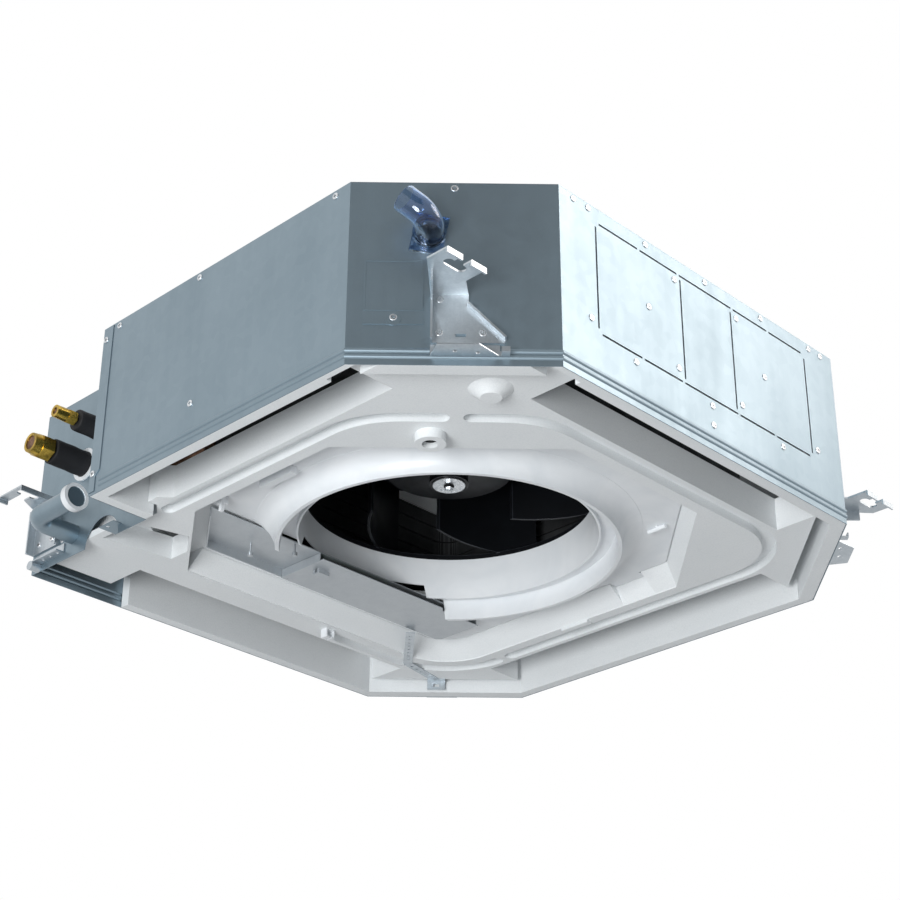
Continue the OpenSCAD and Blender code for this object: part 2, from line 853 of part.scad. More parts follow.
module piping_plate() {
  color("lightslategray") {
    difference() {
      linear_extrude(body_h)
        polygon([[-half + sheet_t, notch_y], [-notch_x, notch_y], [-notch_x, half - sheet_t],
          [-notch_x + sheet_t, half - sheet_t], [-notch_x + sheet_t, notch_y - sheet_t], [-half + sheet_t,
          notch_y - sheet_t]]);
      pipe_holes(gas_sleeve_r + sleeve_fit, liquid_sleeve_r + sleeve_fit, notch_x - sheet_t - over,
        notch_x + over);
      translate([-notch_x - over, port_root_y, port_z]) rotate([0, turn * 2, 0])
        cylinder(r = port_r - port_wall, h = sheet_t + 2 * over);
      translate([-notch_x - over, plate_cut_y, 0]) rotate([0, turn * 2, 0])
        cylinder(r = plate_cut_r, h = sheet_t + 2 * over);
    }
    piping_tab();
  }
}

module piping_tab() {
  translate([-notch_x - tab[0] / 2, plate_cut_y - plate_cut_r - tab[1] / 4, tab[2]]) difference() {
    cube([tab[0], tab[1], sheet_t]);
    translate([tab[0] / 4, 2 * tab[1] / 3, -over])
      cylinder(r = shelf_hole_r, h = sheet_t + 2 * over);
  }
}

module end_strip() {
  color("lightsteelblue") translate([-half - strip_t, notch_y - strip_w, 0])
    rotate([turn * 2, 0, turn * 2]) linear_extrude(strip_t)
      polygon([[0, strip_foot_h + strip_w - strip_foot_w], [strip_w - strip_foot_w, strip_foot_h],
        [strip_w - strip_foot_w, strip_z], [strip_w, strip_z], [strip_w, body_h], [0, body_h]]);
}

module roof_plate() {
  color("silver") {
    difference() {
      union() {
        translate([0, 0, body_h]) linear_extrude(sheet_t) polygon(case_pts(0));
        translate([0, 0, roof_z]) cylinder(r1 = roof_r, r2 = roof_top_r, h = roof_rise);
      }
      translate([0, 0, body_h - over]) cylinder(r = roof_r - 2 * sheet_t, h = over + sheet_t / 2);
      translate([0, 0, body_h + sheet_t / 2 - over])
        cylinder(r1 = roof_r - 2 * sheet_t, r2 = roof_top_r - 2 * sheet_t, h = roof_rise + over - sheet_t / 2);
    }
    for (a = [0:feet - 1]) rotate([0, 0, turn + a * 8 * turn / feet])
      translate([foot_ring, 0, lining_top])
        cylinder(r = rubber_r / 2, h = roof_rise + roof_z - lining_top - sheet_t / 2);
  }
}

module screw() {
  rotate([turn * 2, 0, 0]) difference() {
    cylinder(r1 = screw_r, r2 = screw_top_r, h = screw_h);
    translate([0, 0, screw_h - screw_dip]) cylinder(r = screw_dip_r, h = screw_dip + over);
  }
}

module casing_screws() {
  color("whitesmoke") {
    on_side(0) {
      for (p = screws_pair) for (s = [-1, 1]) translate([s * p[0], 0, p[1]]) screw();
      for (p = screws_mid) translate([p[0], 0, p[1]]) screw();
    }
    on_side(6) {
      for (p = screws_left) translate([p[0], 0, p[1]]) screw();
      for (z = screws_strip) translate([-notch_y + strip_foot_w / 2, -strip_t, z]) screw();
    }
    for (k = [2, 4]) on_side(k) for (p = screws_rear) translate([p[0], 0, p[1]]) screw();
    for (k = [1, 3, 7]) on_side(k) translate([0, 0, screws_rear[0][1]]) screw();
    for (k = [1, 3, 7]) on_side(k) mirror([k == 1 ? 1 : 0, 0, 0]) for (p = hang_screws)
      translate([p[0], -hang_t, p[1]]) screw();
    on_side(7) translate([cover_screw[0], -cover_t, cover_screw[1]]) screw();
    translate([-notch_x - hang_t, 0, 0]) for (y = left_hang_y)
      translate([0, (y + (left_hang_y[0] + left_hang_y[1]) / 2) / 2, hang_screws[1][1]])
        rotate([0, 0, -2 * turn]) screw();
    translate([-notch_x, left_hang_y[0] - 2 * screw_r, hang_foot_z + hang_t])
      rotate([0, 0, -2 * turn]) screw();
    translate([-notch_x, (notch_y + port_root_y + left_hang_y[0]) / 3, body_h - 2 * screw_r])
      rotate([0, 0, -2 * turn]) screw();
  }
}

module lining_inside(t, tc) {
  d = flat_d - tc;
  h = half - t;
  e = d * root2 - h;
  polygon([[-h, -e], [-e, -h], [e, -h], [h, -e], [h, e], [e, h], [-notch_x + t, h], [-notch_x + t,
    notch_y - t], [-h, notch_y - t]]);
}

module foam_lining() {
  gap = sheet_t + foam_gap;
  color("white") difference() {
    linear_extrude(lining_top) polygon(case_pts(gap));
    translate([0, 0, -over]) linear_extrude(foam_step_z + 2 * over)
      lining_inside(foam_t, foam_corner_t);
    translate([0, 0, foam_step_z]) linear_extrude(lining_top - foam_top_t - foam_step_z)
      lining_inside(foam_t, foam_deep_t);
    cylinder(r = foam_hole_r, h = body_h);
    // open steel at the piping corner, under the tail of the pan
    translate([-notch_x, notch_y - foam_t - over, -over])
      cube([notch_x - foam_end_x, half, foam_step_z + over]);
    // thinner rim near the front corner
    for (m = [0, 1]) mirror([m, -m, 0]) translate([-half + foam_thin_t, -half, -over])
      cube([foam_t, half - foam_thin_y, foam_thin_h + over]);
    // dark space behind the knock-outs
    translate([-knock_outer - knock_margin, -half, knock_z0 - knock_margin])
      cube([2 * (knock_outer + knock_margin), gap + knock_back, knock_z1 - knock_z0 + 2 * knock_margin]);
    pipe_holes(gas_sleeve_r + sleeve_fit, liquid_sleeve_r + sleeve_fit, notch_x - foam_t - over,
      notch_x + over);
    on_side(7) translate([drain_u, 0, drain_z])
      rotate([-2 * turn, 0, 0]) cylinder(r = drain_r + sleeve_fit, h = foam_deep_t + over);
  }
  color("white") for (x = duct_ribs) translate([x, -half + foam_t, foam_step_z])
    cube([duct_rib_t, duct_rib_out, lining_top - foam_top_t - foam_step_z]);
}

// plan of the groove: straight runs, arcs and round ends
module groove_run(a, b, lap = 0) {
  d = b - a;
  w = lap > 0 ? groove_r - run_gap : groove_r;
  translate(a) rotate(atan2(d[1], d[0])) translate([-lap, -w]) square([norm(d) + 2 * lap, 2 * w]);
}

module groove_end(p) {
  translate(p) circle(r = groove_r);
}

module groove_arc(c, r, a0, a1) {
  o = 2 * (r + groove_r);
  translate(c) intersection() {
    difference() {
      circle(r = r + groove_r);
      circle(r = r - groove_r);
    }
    polygon([[0, 0], o * [cos(a0), sin(a0)], o * [cos((a0 + a1) / 2), sin((a0 + a1) / 2)], o * [cos(a1), sin(a1)]]);
  }
}

module groove_cut() {
  k = groove_front_d * root2 - groove_half;
  tl = groove_front_bend * lean;
  gh = groove_half;
  gb = groove_bend;
  // left side to the front corner
  u_in = corner_xy(bridge_front[0], groove_front_d, -1, -1);
  u_out = corner_xy(bridge_front[1], groove_front_d, -1, -1);
  groove_end([-gh, groove_left_y]);
  groove_run([-gh, groove_left_y], [-gh, -k + tl]);
  groove_arc([-gh + groove_front_bend, -k + tl], groove_front_bend, 4 * turn, 5 * turn);
  groove_run([-gh + tl / root2, -k - tl / root2], u_in, over);
  groove_end(u_in);
  // front corner to the rear right side
  groove_end(u_out);
  groove_run(u_out, [-k - tl / root2, -gh + tl / root2], over);
  groove_arc([-k + tl, -gh + groove_front_bend], groove_front_bend, 5 * turn, 6 * turn);
  groove_run([-k + tl, -gh], [gh - gb, -gh]);
  groove_arc([gh - gb, -gh + gb], gb, 6 * turn, 8 * turn);
  groove_run([gh, -gh + gb], [gh, bridge_rear[0]]);
  groove_end([gh, bridge_rear[0]]);
  // rear corner
  groove_end([gh, bridge_rear[1]]);
  groove_run([gh, bridge_rear[1]], [gh, gh - gb]);
  groove_arc([gh - gb, gh - gb], gb, 0, 2 * turn);
  groove_run([gh - gb, gh], [groove_rear_x, gh]);
  groove_end([groove_rear_x, gh]);
}

module pan_outline() {
  h = pan_half;
  rim = half - foam_t - pan_gap;
  front = (flat_d - foam_corner_t - pan_gap) * root2;
  right = pan_right_d * root2;
  rear = pan_rear_d * root2;
  polygon([[-h, -duct_left_end], [-rim, -duct_left_end], [-rim, rim - front], [rim - front, -rim],
    [-duct_right_end, -rim], [-duct_right_end, -h], [duct_end, -h], [duct_end, duct_end - right],
    [right - duct_end, -duct_end], [h, -duct_end], [h, duct_end], [rear - duct_end, duct_end], [duct_end,
    rear - duct_end], [duct_end, h], [-notch_x + foam_t + pan_gap, h], [-notch_x + foam_t + pan_gap,
    notch_y], each lobe, [-h, lobe[2][1] + lobe[2][0] + h]]);
}

module opening(g) {
  h = open_half - g;
  f = (open_front_d - g) * root2;
  r = (open_right_d - g) * root2;
  polygon([[-h, h - f], [h - f, -h], [r - h, -h], [h, h - r], [h, cove_bend_at], [cove_bend_at, h],
    [-open_left_x + g * root2, h], [-h, open_left_y - g * root2]]);
  translate([cove_bend_at, cove_bend_at]) circle(r = open_rear_r - g);
}

// plan of the inlet moulding, inside the sloped walls of the pan
module inlet_outline() {
  g = inlet_gap;
  r = (open_right_d - cove_right_w - g) * root2;
  x0 = open_half - cove_steps[0][1] - g;
  x1 = open_half - cove_steps[1][1] - g;
  x2 = open_half - cove_w - g;
  y0 = cove_steps[0][0] + g;
  y1 = cove_steps[1][0] - g;
  intersection() {
    opening(g);
    union() {
      polygon([[-half, -half], [r - half, -half], [x0, x0 - r], [x0, y0], [x1, y0], [x1, y1], [x2, y1],
        [x2, cove_bend_at], [cove_bend_at, x2], [-half, x2]]);
      translate([cove_bend_at, cove_bend_at]) circle(r = x2 - cove_bend_at);
    }
  }
}

// section of the sloped wall, its foot at x and its width w
module cove_section(x, w) {
  polygon([[x + over, pan_z0 + over], [x + over, shelf_z + over], [x - w, shelf_z + over], [x - w,
    shelf_z - inlet_t]]);
}

module cove_bar(x, y0, y1, w) {
  translate([0, y1, 0]) rotate([2 * turn, 0, 0]) linear_extrude(y1 - y0) cove_section(x, w);
}

module pan_coves() {
  y0 = open_half - open_right_d * root2 - cove_right_w;
  l = (2 * open_half - open_right_d * root2) / root2 + cove_right_w;
  cove_bar(open_half, y0, cove_steps[0][0], cove_steps[0][1]);
  cove_bar(open_half, cove_steps[0][0], cove_steps[1][0], cove_steps[1][1]);
  cove_bar(open_half, cove_steps[1][0], cove_bend_at, cove_w);
  translate([cove_bend_at, cove_bend_at, 0]) rotate_extrude(angle = 2 * turn)
    cove_section(open_rear_r, cove_w);
  rotate([0, 0, 2 * turn]) cove_bar(open_half, -cove_bend_at, open_left_x, cove_w);
  rotate([0, 0, -turn]) cove_bar(open_right_d, -l, l, cove_right_w);
}

module rounded_ring(a, b, r) {
  difference() {
    rounded_square(b, r + b - a);
    rounded_square(a, r);
  }
}

module rounded_square(h, r) {
  square([2 * h, 2 * (h - r)], center = true);
  square([2 * (h - r), 2 * h], center = true);
  for (x = [-1, 1]) for (y = [-1, 1]) translate([x * (h - r), y * (h - r)]) circle(r = r);
}

module at_front(u, d) {
  p = corner_xy(u, d, -1, -1);
  translate([p[0], p[1], 0]) children();
}

module drain_pan() {
  color("whitesmoke") {
    difference() {
      union() {
        translate([0, 0, pan_z0]) linear_extrude(pan_z1 - pan_z0) pan_outline();
        // tail at the piping corner
        translate([0, 0, pan_z0]) linear_extrude(tail_z1 - pan_z0)
          polygon([[-foam_end_x, pan_half], [-tail_x, pan_half], [-tail_x, tail_y], [-tail_left, tail_y],
            [-tail_left, notch_y + foam_t], [-foam_end_x, notch_y]]);
        at_front(cone_u, cone_d) translate([0, 0, pan_z0 - cone_h])
          cylinder(r1 = cone_top_r, r2 = cone_r, h = cone_h);
        at_front(boss_u, boss_d) translate([0, 0, boss_z])
          cylinder(r = boss_r, h = pan_z0 - boss_z);
        on_side(7) translate([-bead_half, flat_d - bead_d - bead_w / 2, pan_z0 - bead_h])
          cube([2 * bead_half, bead_w, bead_h]);
        translate([open_half, bar_y, pan_z0 - bar_h]) cube([bar_w, bar_l, bar_h]);
      }
      translate([0, 0, pan_z0 - bar_h - over]) linear_extrude(shelf_z - pan_z0 + bar_h + over)
        opening(0);
      translate([0, 0, pan_z0]) cylinder(r = shelf_r, h = pan_z1);
      translate([0, 0, channel_z]) linear_extrude(pan_z1)
        rounded_ring(channel_in, channel_out, coil_bend);
      translate([0, 0, pan_z0 - over]) linear_extrude(groove_depth + over) groove_cut();
      translate([0, 0, pan_z0 - over]) linear_extrude(pit_z - pan_z0 + over) polygon(pit);
      at_front(cone_u, cone_d) translate([0, 0, sump_z]) cylinder(r = sump_r, h = pan_z1);
      at_front(cone_u + float_off, cone_d) translate([0, 0, sump_z])
        cylinder(r = float_well_r, h = pan_z1);
      at_front(boss_u, boss_d) translate([0, 0, boss_z - over])
        cylinder(r = boss_bore_r, h = pan_z1);
    }
    pan_coves();
  }
}

module drain_plug() {
  color("dimgray") at_front(boss_u, boss_d) translate([0, 0, boss_z + plug_deep]) difference() {
    cylinder(r = boss_bore_r - run_gap, h = plug_l);
    translate([0, 0, -over]) cylinder(r = plug_head_r / 2, h = plug_l / 2);
  }
}

module inlet_moulding() {
  c = ring_out_r;
  color("white") difference() {
    union() {
      translate([0, 0, shelf_z - inlet_t]) linear_extrude(inlet_t) difference() {
        inlet_outline();
        circle(r = c - inlet_t);
      }
      rotate_extrude() {
        // outer ring, hollow from above
        difference() {
          polygon([[ring_r, ring_z], [c, ring_z], [c, shelf_z], [ring_root_r, shelf_z]]);
          translate([c, ring_z]) circle(r = ring_curve);
          difference() {
            polygon([[ring_r + inlet_t, ring_z + inlet_t], [c + over, ring_z + inlet_t], [c + over,
              shelf_z + over], [ring_root_r + inlet_t, shelf_z + over]]);
            translate([c, ring_z]) circle(r = ring_curve + inlet_t);
          }
        }
        // floor between the rings, and the throat
        polygon([[lip_r, lip_z], [lip_r + inlet_t, lip_z], [lip_r + inlet_t, shelf_z - inlet_t],
          [ring_root_r + inlet_t / 2, shelf_z - inlet_t], [ring_root_r + inlet_t / 2, shelf_z], [lip_r,
          shelf_z], [throat_r + inlet_t, lip_top_z], [throat_r + inlet_t, throat_z1], [throat_r,
          throat_z1], [throat_r, lip_top_z]]);
      }
    }
    translate([-half, box_cut_y, 0]) cube([2 * half, half, shelf_z - inlet_t]);
    translate([-half, box_cut_y, 0]) cube([half + box_pts[3][0] + inlet_gap, half, inlet_cut_z]);
  }
}

module blade_plan() {
  a = [blade_in_r, 0];
  b = fan_r * [cos(blade_sweep), -sin(blade_sweep)];
  m = (a + b) / 2;
  d = (b - a) / norm(b - a);
  o = sqrt(blade_curve * blade_curve - norm(b - a) * norm(b - a) / 4);
  intersection() {
    translate(m + o * [d[1], -d[0]]) difference() {
      circle(r = blade_curve + blade_t / 2);
      circle(r = blade_curve - blade_t / 2);
    }
    polygon([[0, 0], 2 * fan_r * [cos(turn / 2), sin(turn / 2)], 2 * fan_r * [cos(turn / 2),
      -sin(turn / 2)], 2 * fan_r * [cos(blade_sweep + turn / 2), -sin(blade_sweep + turn / 2)]]);
  }
}

module fan_wheel() {
  color("black") union() {
    rotate_extrude() {
      // back plate and hub cup
      polygon([[cup_r, back_z], [fan_r, back_z], [fan_r, back_z + fan_t], [cup_r - fan_t, back_z + fan_t],
        [cup_low_r - fan_t, cup_low_z], [hub_r - fan_t, cup_floor_z + fan_t], [hub_r - fan_t, hub_z1],
        [shaft_r, hub_z1], [shaft_r, hub_z0], [hub_r, hub_z0], [hub_r, cup_floor_z], [cup_low_r,
        cup_low_z - fan_t]]);
      // collar and shroud
      polygon([[collar_r, collar_z0], [collar_r + fan_t, collar_z0], [collar_r + fan_t, collar_z1],
        [shroud_mid_r + fan_t / 2, shroud_mid_z - fan_t / 2], [fan_r, shroud_z], [fan_r,
        shroud_z + fan_t], [shroud_mid_r - fan_t / 2, shroud_mid_z + fan_t / 2], [collar_r,
        collar_z1 + fan_t]]);
    }
    intersection() {
      rotate_extrude()
        polygon([[blade_in_r, blade_z0], [collar_r + fan_t / 2, collar_z1 + fan_t / 2], [shroud_mid_r,
          shroud_mid_z], [blade_out_r, shroud_z + fan_t / 4], [blade_out_r, back_z + fan_t / 2],
          [blade_in_r, back_z + fan_t / 2]]);
      for (i = [0:blades - 1]) rotate([0, 0, i * 8 * turn / blades])
        linear_extrude(body_h) blade_plan();
    }
  }
}

module hub_washer() {
  color("gainsboro") translate([0, 0, hub_z0 - washer_t]) difference() {
    cylinder(r = washer_r, h = washer_t);
    translate([0, 0, -over]) cylinder(r = thread_r, h = washer_t + 2 * over);
  }
}

module hub_grommet() {
  color("black") translate([0, 0, hub_z0 - washer_t - grommet_t]) difference() {
    cylinder(r1 = fan_nut_r, r2 = grommet_r, h = grommet_t);
    translate([0, 0, -over]) cylinder(r = thread_r, h = grommet_t + 2 * over);
  }
}

module fan_nut() {
  color("silver") translate([0, 0, hub_z0 - washer_t - grommet_t - fan_nut_h]) difference() {
    cylinder(r = fan_nut_r, h = fan_nut_h, $fn = hex_sides);
    translate([0, 0, -over]) cylinder(r = thread_r, h = fan_nut_h + 2 * over);
  }
}

module fan_shaft() {
  z0 = hub_z0 - washer_t - grommet_t - fan_nut_h - shaft_tip;
  color("silver") {
    translate([0, 0, z0]) cylinder(r = thread_r, h = hub_z0 - z0 + over);
    translate([0, 0, hub_z0]) cylinder(r = shaft_r, h = (motor_z0 + motor_z1) / 2 - hub_z0);
  }
}

module fan_motor() {
  color("dimgray") difference() {
    union() {
      translate([0, 0, motor_z0]) cylinder(r = motor_r, h = motor_z1 - motor_z0);
      translate([0, 0, motor_neck_z]) cylinder(r = motor_neck_r, h = motor_z0 - motor_neck_z);
      translate([motor_r - motor_plug[2] / 2, -motor_plug[1] / 2, motor_z1 - motor_plug[2]])
        cube([motor_plug[0] / 2, motor_plug[1], motor_plug[2]]);
    }
    translate([0, 0, motor_neck_z - over])
      cylinder(r = shaft_r + run_gap, h = (motor_z0 + motor_z1) / 2 - motor_neck_z + 2 * over);
  }
}

module motor_plate() {
  color("silver") translate([0, 0, motor_z1]) cylinder(r = foot_r, h = foot_t);
}

module rubber_feet() {
  color("black") for (a = [0:feet - 1])
    rotate([0, 0, turn + a * 8 * turn / feet]) translate([foot_ring, 0, motor_z1 + foot_t])
      cylinder(r = rubber_r, h = lining_top - motor_z1 - foot_t);
}

module coil_plan(grow) {
  difference() {
    rounded_ring(coil_in + grow, coil_out - grow, coil_bend + grow);
    polygon([[-half, coil_end_y], [-coil_end_x, coil_end_y], [-coil_end_x, half], [-half, half]]);
  }
}

module coil_fins() {
  step = (coil_z1 - coil_z0) / fin_stacks;
  color("silver") translate([0, 0, coil_z0])
    for (i = [0:fin_stacks - 1]) translate([0, 0, i * step]) {
      linear_extrude(step - fin_gap) coil_plan(0);
      translate([0, 0, step - fin_gap])
        linear_extrude(i < fin_stacks - 1 ? fin_gap : fin_gap / 2) coil_plan(fin_deep);
    }
}

module tube_plates() {
  color("gainsboro") {
    w = coil_out - coil_in - 2 * tube_plate_lap;
    translate([-coil_out + tube_plate_lap, coil_end_y, coil_z0])
      cube([w, tube_plate_t, coil_z1 - coil_z0]);
    translate([-coil_end_x - tube_plate_t, coil_in + tube_plate_lap, coil_z0])
      cube([tube_plate_t, w, coil_z1 - coil_z0]);
  }
}

module return_bend() {
  for (s = [-1, 1]) translate([s * row_step / 2, 0, 0])
    rotate([-2 * turn, 0, 0]) cylinder(r = tube_r, h = bend_straight);
  translate([0, bend_straight, 0]) rotate_extrude(angle = 4 * turn)
    translate([row_step / 2, 0]) circle(r = tube_r);
}

module return_bends() {
  color("sandybrown") {
    for (z = tube_z) translate([-coil_mid, coil_end_y + tube_plate_t, z]) return_bend();
    for (z = tube_z) translate([-coil_end_x - tube_plate_t, coil_mid, z])
      rotate([0, 0, 2 * turn]) return_bend();
  }
}

// pipe from the coil's corner space out through the plate, ending in a flare
module elbow_pipe(x, y, y0, z, x1, r) {
  translate([-x, y0, z]) rotate([-2 * turn, 0, 0]) cylinder(r = r, h = y - pipe_bend - y0);
  translate([-x - pipe_bend, y - pipe_bend, z]) rotate_extrude(angle = 2 * turn)
    translate([pipe_bend, 0]) circle(r = r);
  translate([-x1, y, z]) rotate([0, 2 * turn, 0]) cylinder(r = r, h = x1 - x - pipe_bend);
  translate([-x1, y, z]) rotate([0, 2 * turn, 0]) cylinder(r1 = r + flare_h, r2 = r, h = flare_h);
}

module gas_pipe() {
  color("sandybrown") {
    elbow_pipe(coil_mid, gas_y, header_y, gas_z, gas_nut_x - flare_h, gas_r);
    translate([-coil_mid, header_y, header_z0]) cylinder(r = header_r, h = header_z1 - header_z0);
  }
}

module liquid_pipe() {
  color("sandybrown") {
    x = coil_end_x + bend_straight + row_step + header_r + spread_r;
    elbow_pipe(x, liquid_y, liquid_y - pipe_bend - spread_l, liquid_z, liquid_nut_x - flare_h, liquid_r);
    translate([-x, liquid_y - pipe_bend - spread_l, liquid_z]) rotate([-2 * turn, 0, 0])
      cylinder(r1 = spread_r, r2 = liquid_r, h = spread_l / 2);
  }
}

module pipe_sleeve(y, z, x, r_in, r_out) {
  translate([-x, y, z]) rotate([0, 2 * turn, 0]) difference() {
    cylinder(r = r_out, h = x - notch_x + foam_t);
    translate([0, 0, -over]) cylinder(r = r_in, h = x);
  }
}

module gas_sleeve() {
  color("black") pipe_sleeve(gas_y, gas_z, gas_sleeve_x, gas_r, gas_sleeve_r);
}

module liquid_sleeve() {
  color("black") pipe_sleeve(liquid_y, liquid_z, liquid_sleeve_x, liquid_r, liquid_sleeve_r);
}

// flare nut: six flats behind, round nose in front
module flare_nut(y, z, x, l, flats, r_pipe, r_nut) {
  bore = r_pipe + nut_gap;
  translate([-x, y, z]) rotate([0, 2 * turn, 0]) difference() {
    union() {
      translate([0, 0, l - flats]) cylinder(r = r_nut, h = flats, $fn = hex_sides);
      cylinder(r1 = r_nut * cos(turn) + flare_h, r2 = r_nut * cos(4 * turn / hex_sides), h = l - flats);
    }
    translate([0, 0, -over]) cylinder(r = bore, h = l + 2 * over);
    translate([0, 0, -over]) cylinder(r = bore + flare_h, h = over + flare_h);
    translate([0, 0, flare_h]) cylinder(r1 = bore + flare_h, r2 = bore, h = flare_h);
  }
}

module gas_nut() {
  color("goldenrod")
    flare_nut(gas_y, gas_z, gas_nut_x, gas_nut_x - gas_sleeve_x - sleeve_gap, gas_flats, gas_r, gas_nut_r);
}

module liquid_nut() {
  color("goldenrod")
    flare_nut(liquid_y, liquid_z, liquid_nut_x, liquid_nut_x - liquid_sleeve_x - sleeve_gap, liquid_flats,
      liquid_r, liquid_nut_r);
}

module pipe_collars() {
  color("white") difference() {
    pipe_holes(gas_sleeve_r + sleeve_fit + collar_w, liquid_sleeve_r + sleeve_fit + collar_w, notch_x,
      notch_x + collar_t);
    pipe_holes(gas_sleeve_r, liquid_sleeve_r, notch_x - over, notch_x + collar_t + over);
  }
}

module port_run(r) {
  translate([-port_x, port_y + cap_t / 2, port_z]) rotate([-2 * turn, 0, 0])
    cylinder(r = r, h = port_root_y - port_bend - port_y - cap_t / 2);
  translate([-port_x + port_bend, port_root_y - port_bend, port_z]) rotate([0, 0, 2 * turn])
    rotate_extrude(angle = 2 * turn) translate([port_bend, 0]) circle(r = r);
  translate([-port_x + port_bend, port_root_y, port_z]) rotate([0, 2 * turn, 0])
    cylinder(r = r, h = port_x - port_bend - notch_x);
}

module port_pipe() {
  color("lightgray") difference() {
    port_run(port_r);
    port_run(port_r - port_wall);
  }
}

module port_cap() {
  color("white") translate([-port_x, port_y, port_z]) rotate([-2 * turn, 0, 0]) difference() {
    cylinder(r = cap_r, h = cap_t);
    translate([0, 0, cap_t / 2]) cylinder(r = port_r, h = cap_t);
    translate([0, 0, -over]) cylinder(r = cap_face_r, h = cap_face_t + over);
  }
}

module slot_cut(cx, cy, sy) {
  translate([cx, cy, hang_z - over]) {
    for (s = [-1, 1]) translate([s * (slot_l / 2 - slot_r), 0, 0])
      cylinder(r = slot_r, h = hang_t + 2 * over);
    translate([slot_r - slot_l / 2, -slot_r, 0])
      cube([slot_l - 2 * slot_r, 2 * slot_r, hang_t + 2 * over]);
    translate([-mouth_w / 2, sy > 0 ? 0 : -prong_l - over, 0])
      cube([mouth_w, prong_l + over, hang_t + 2 * over]);
  }
}

// hanger of a cut corner, drawn for the front one
module hanger_body() {
  cx = -hang_x / 2;
  cy = -hang_y / 2;
  a = corner_xy(-hang_left, flat_d, -1, -1);
  b = corner_xy(hang_right, flat_d, -1, -1);
  out = hang_left * 2;
  slope = atan2(gusset_top - gusset_z, gusset_u - hang_right);
  run = norm([gusset_top - gusset_z, gusset_u - hang_right]);
  difference() {
    union() {
      translate([0, 0, hang_z]) linear_extrude(hang_t)
        polygon([a, b, [cx + prong_w, cy + slot_r + prong_l / 3], [cx + prong_w, cy - prong_l],
          [cx - prong_w, cy - prong_l], [cx - prong_w, cy + slot_r + prong_l / 3]]);
      for (x = [cx - prong_w, cx + mouth_w / 2]) translate([x, cy - prong_l, hang_z - prong_h])
        cube([prong_w - mouth_w / 2, hang_t, prong_h]);
      on_side(7) {
        rotate([2 * turn, 0, 0]) linear_extrude(hang_t) difference() {
          polygon([[-hang_left, hang_foot_z], [-hang_left, hang_z], [hang_right, hang_z], [hang_right,
            gusset_top], [gusset_u, gusset_z], [gusset_u - hang_t, hang_foot_z]]);
          translate([lance_at[0] - lance[0] / 2, lance_at[1]]) square([lance[0], lance[1]]);
        }
        // side flange along the left edge
        translate([-hang_left, -out, hang_z - flange_w]) cube([hang_t, out, flange_w]);
        translate([-hang_left, -flange_w, hang_foot_z])
          cube([hang_t, flange_w, hang_z - hang_foot_z]);
        // turned edge of the gusset
        translate([gusset_u, 0, gusset_z]) rotate([0, slope, 0])
          translate([-run, -gusset_w, -hang_t]) cube([run, gusset_w, hang_t]);
      }
    }
    slot_cut(cx, cy, -1);
  }
}

module hanger_front() {
  color("gainsboro") hanger_body();
}

module hanger_right() {
  color("gainsboro") mirror([1, 0, 0]) hanger_body();
}

module hanger_rear() {
  color("gainsboro") rotate([0, 0, 4 * turn]) hanger_body();
}

module hanger_left() {
  cx = -hang_x / 2;
  cy = hang_y / 2;
  y0 = left_hang_y[0];
  y1 = left_hang_y[1];
  color("gainsboro") difference() {
    union() {
      translate([0, 0, hang_z]) linear_extrude(hang_t)
        polygon([[-notch_x, y0], [cx - slot_l / 2 - prong_h, y0], [cx - slot_l / 2 - prong_h,
          cy + 2 * prong_l], [cx - mouth_w / 2, cy + 2 * prong_l], [cx - mouth_w / 2, cy],
          [cx + mouth_w / 2, cy], [cx + mouth_w / 2, cy + prong_l], [-notch_x, y1]]);
      translate([cx - slot_l / 2 - prong_h, y0, hang_z - prong_h])
        cube([-notch_x - cx + slot_l / 2 + prong_h, hang_t, prong_h]);
      translate([cx - slot_l / 2 - prong_h, cy + 2 * prong_l - hang_t, hang_z - prong_h])
        cube([slot_l / 2 + prong_h - mouth_w / 2, hang_t, prong_h]);
      translate([-notch_x - hang_t, y0, hang_foot_z]) cube([hang_t, y1 - y0, hang_z - hang_foot_z]);
      translate([-notch_x - flange_w, y1 - hang_t, hang_foot_z])
        cube([flange_w, hang_t, hang_z - hang_foot_z]);
      translate([-notch_x - flange_w / 2, y0, hang_foot_z])
        cube([flange_w / 2, hang_t, hang_z - hang_foot_z]);
    }
    slot_cut(cx, cy, 1);
  }
}

module lower_plate() {
  ends = shelf_ends;
  translate([0, -rib_out - foam_gap, shelf_low_z]) {
    linear_extrude(shelf_t) difference() {
      polygon([[ends[0], 0], [ends[1], 0], [shelf_outer[1], -shelf_out], [shelf_outer[0], -shelf_out]]);
      for (p = shelf_holes) translate([p[0], -p[1]]) circle(r = shelf_hole_r);
    }
    translate([ends[0], -shelf_t, 0]) cube([ends[1] - ends[0], shelf_t, shelf_back]);
    translate([ends[1] - hook_w, -shelf_t, 0])
      cube([hook_u + hook_w / 2 - ends[1] + hook_w, shelf_t, hook_lip]);
    translate([hook_u - hook_w / 2, -hook_out, 0]) {
      cube([hook_w, hook_out, shelf_t]);
      cube([hook_w, shelf_t, hook_lip]);
    }
  }
}

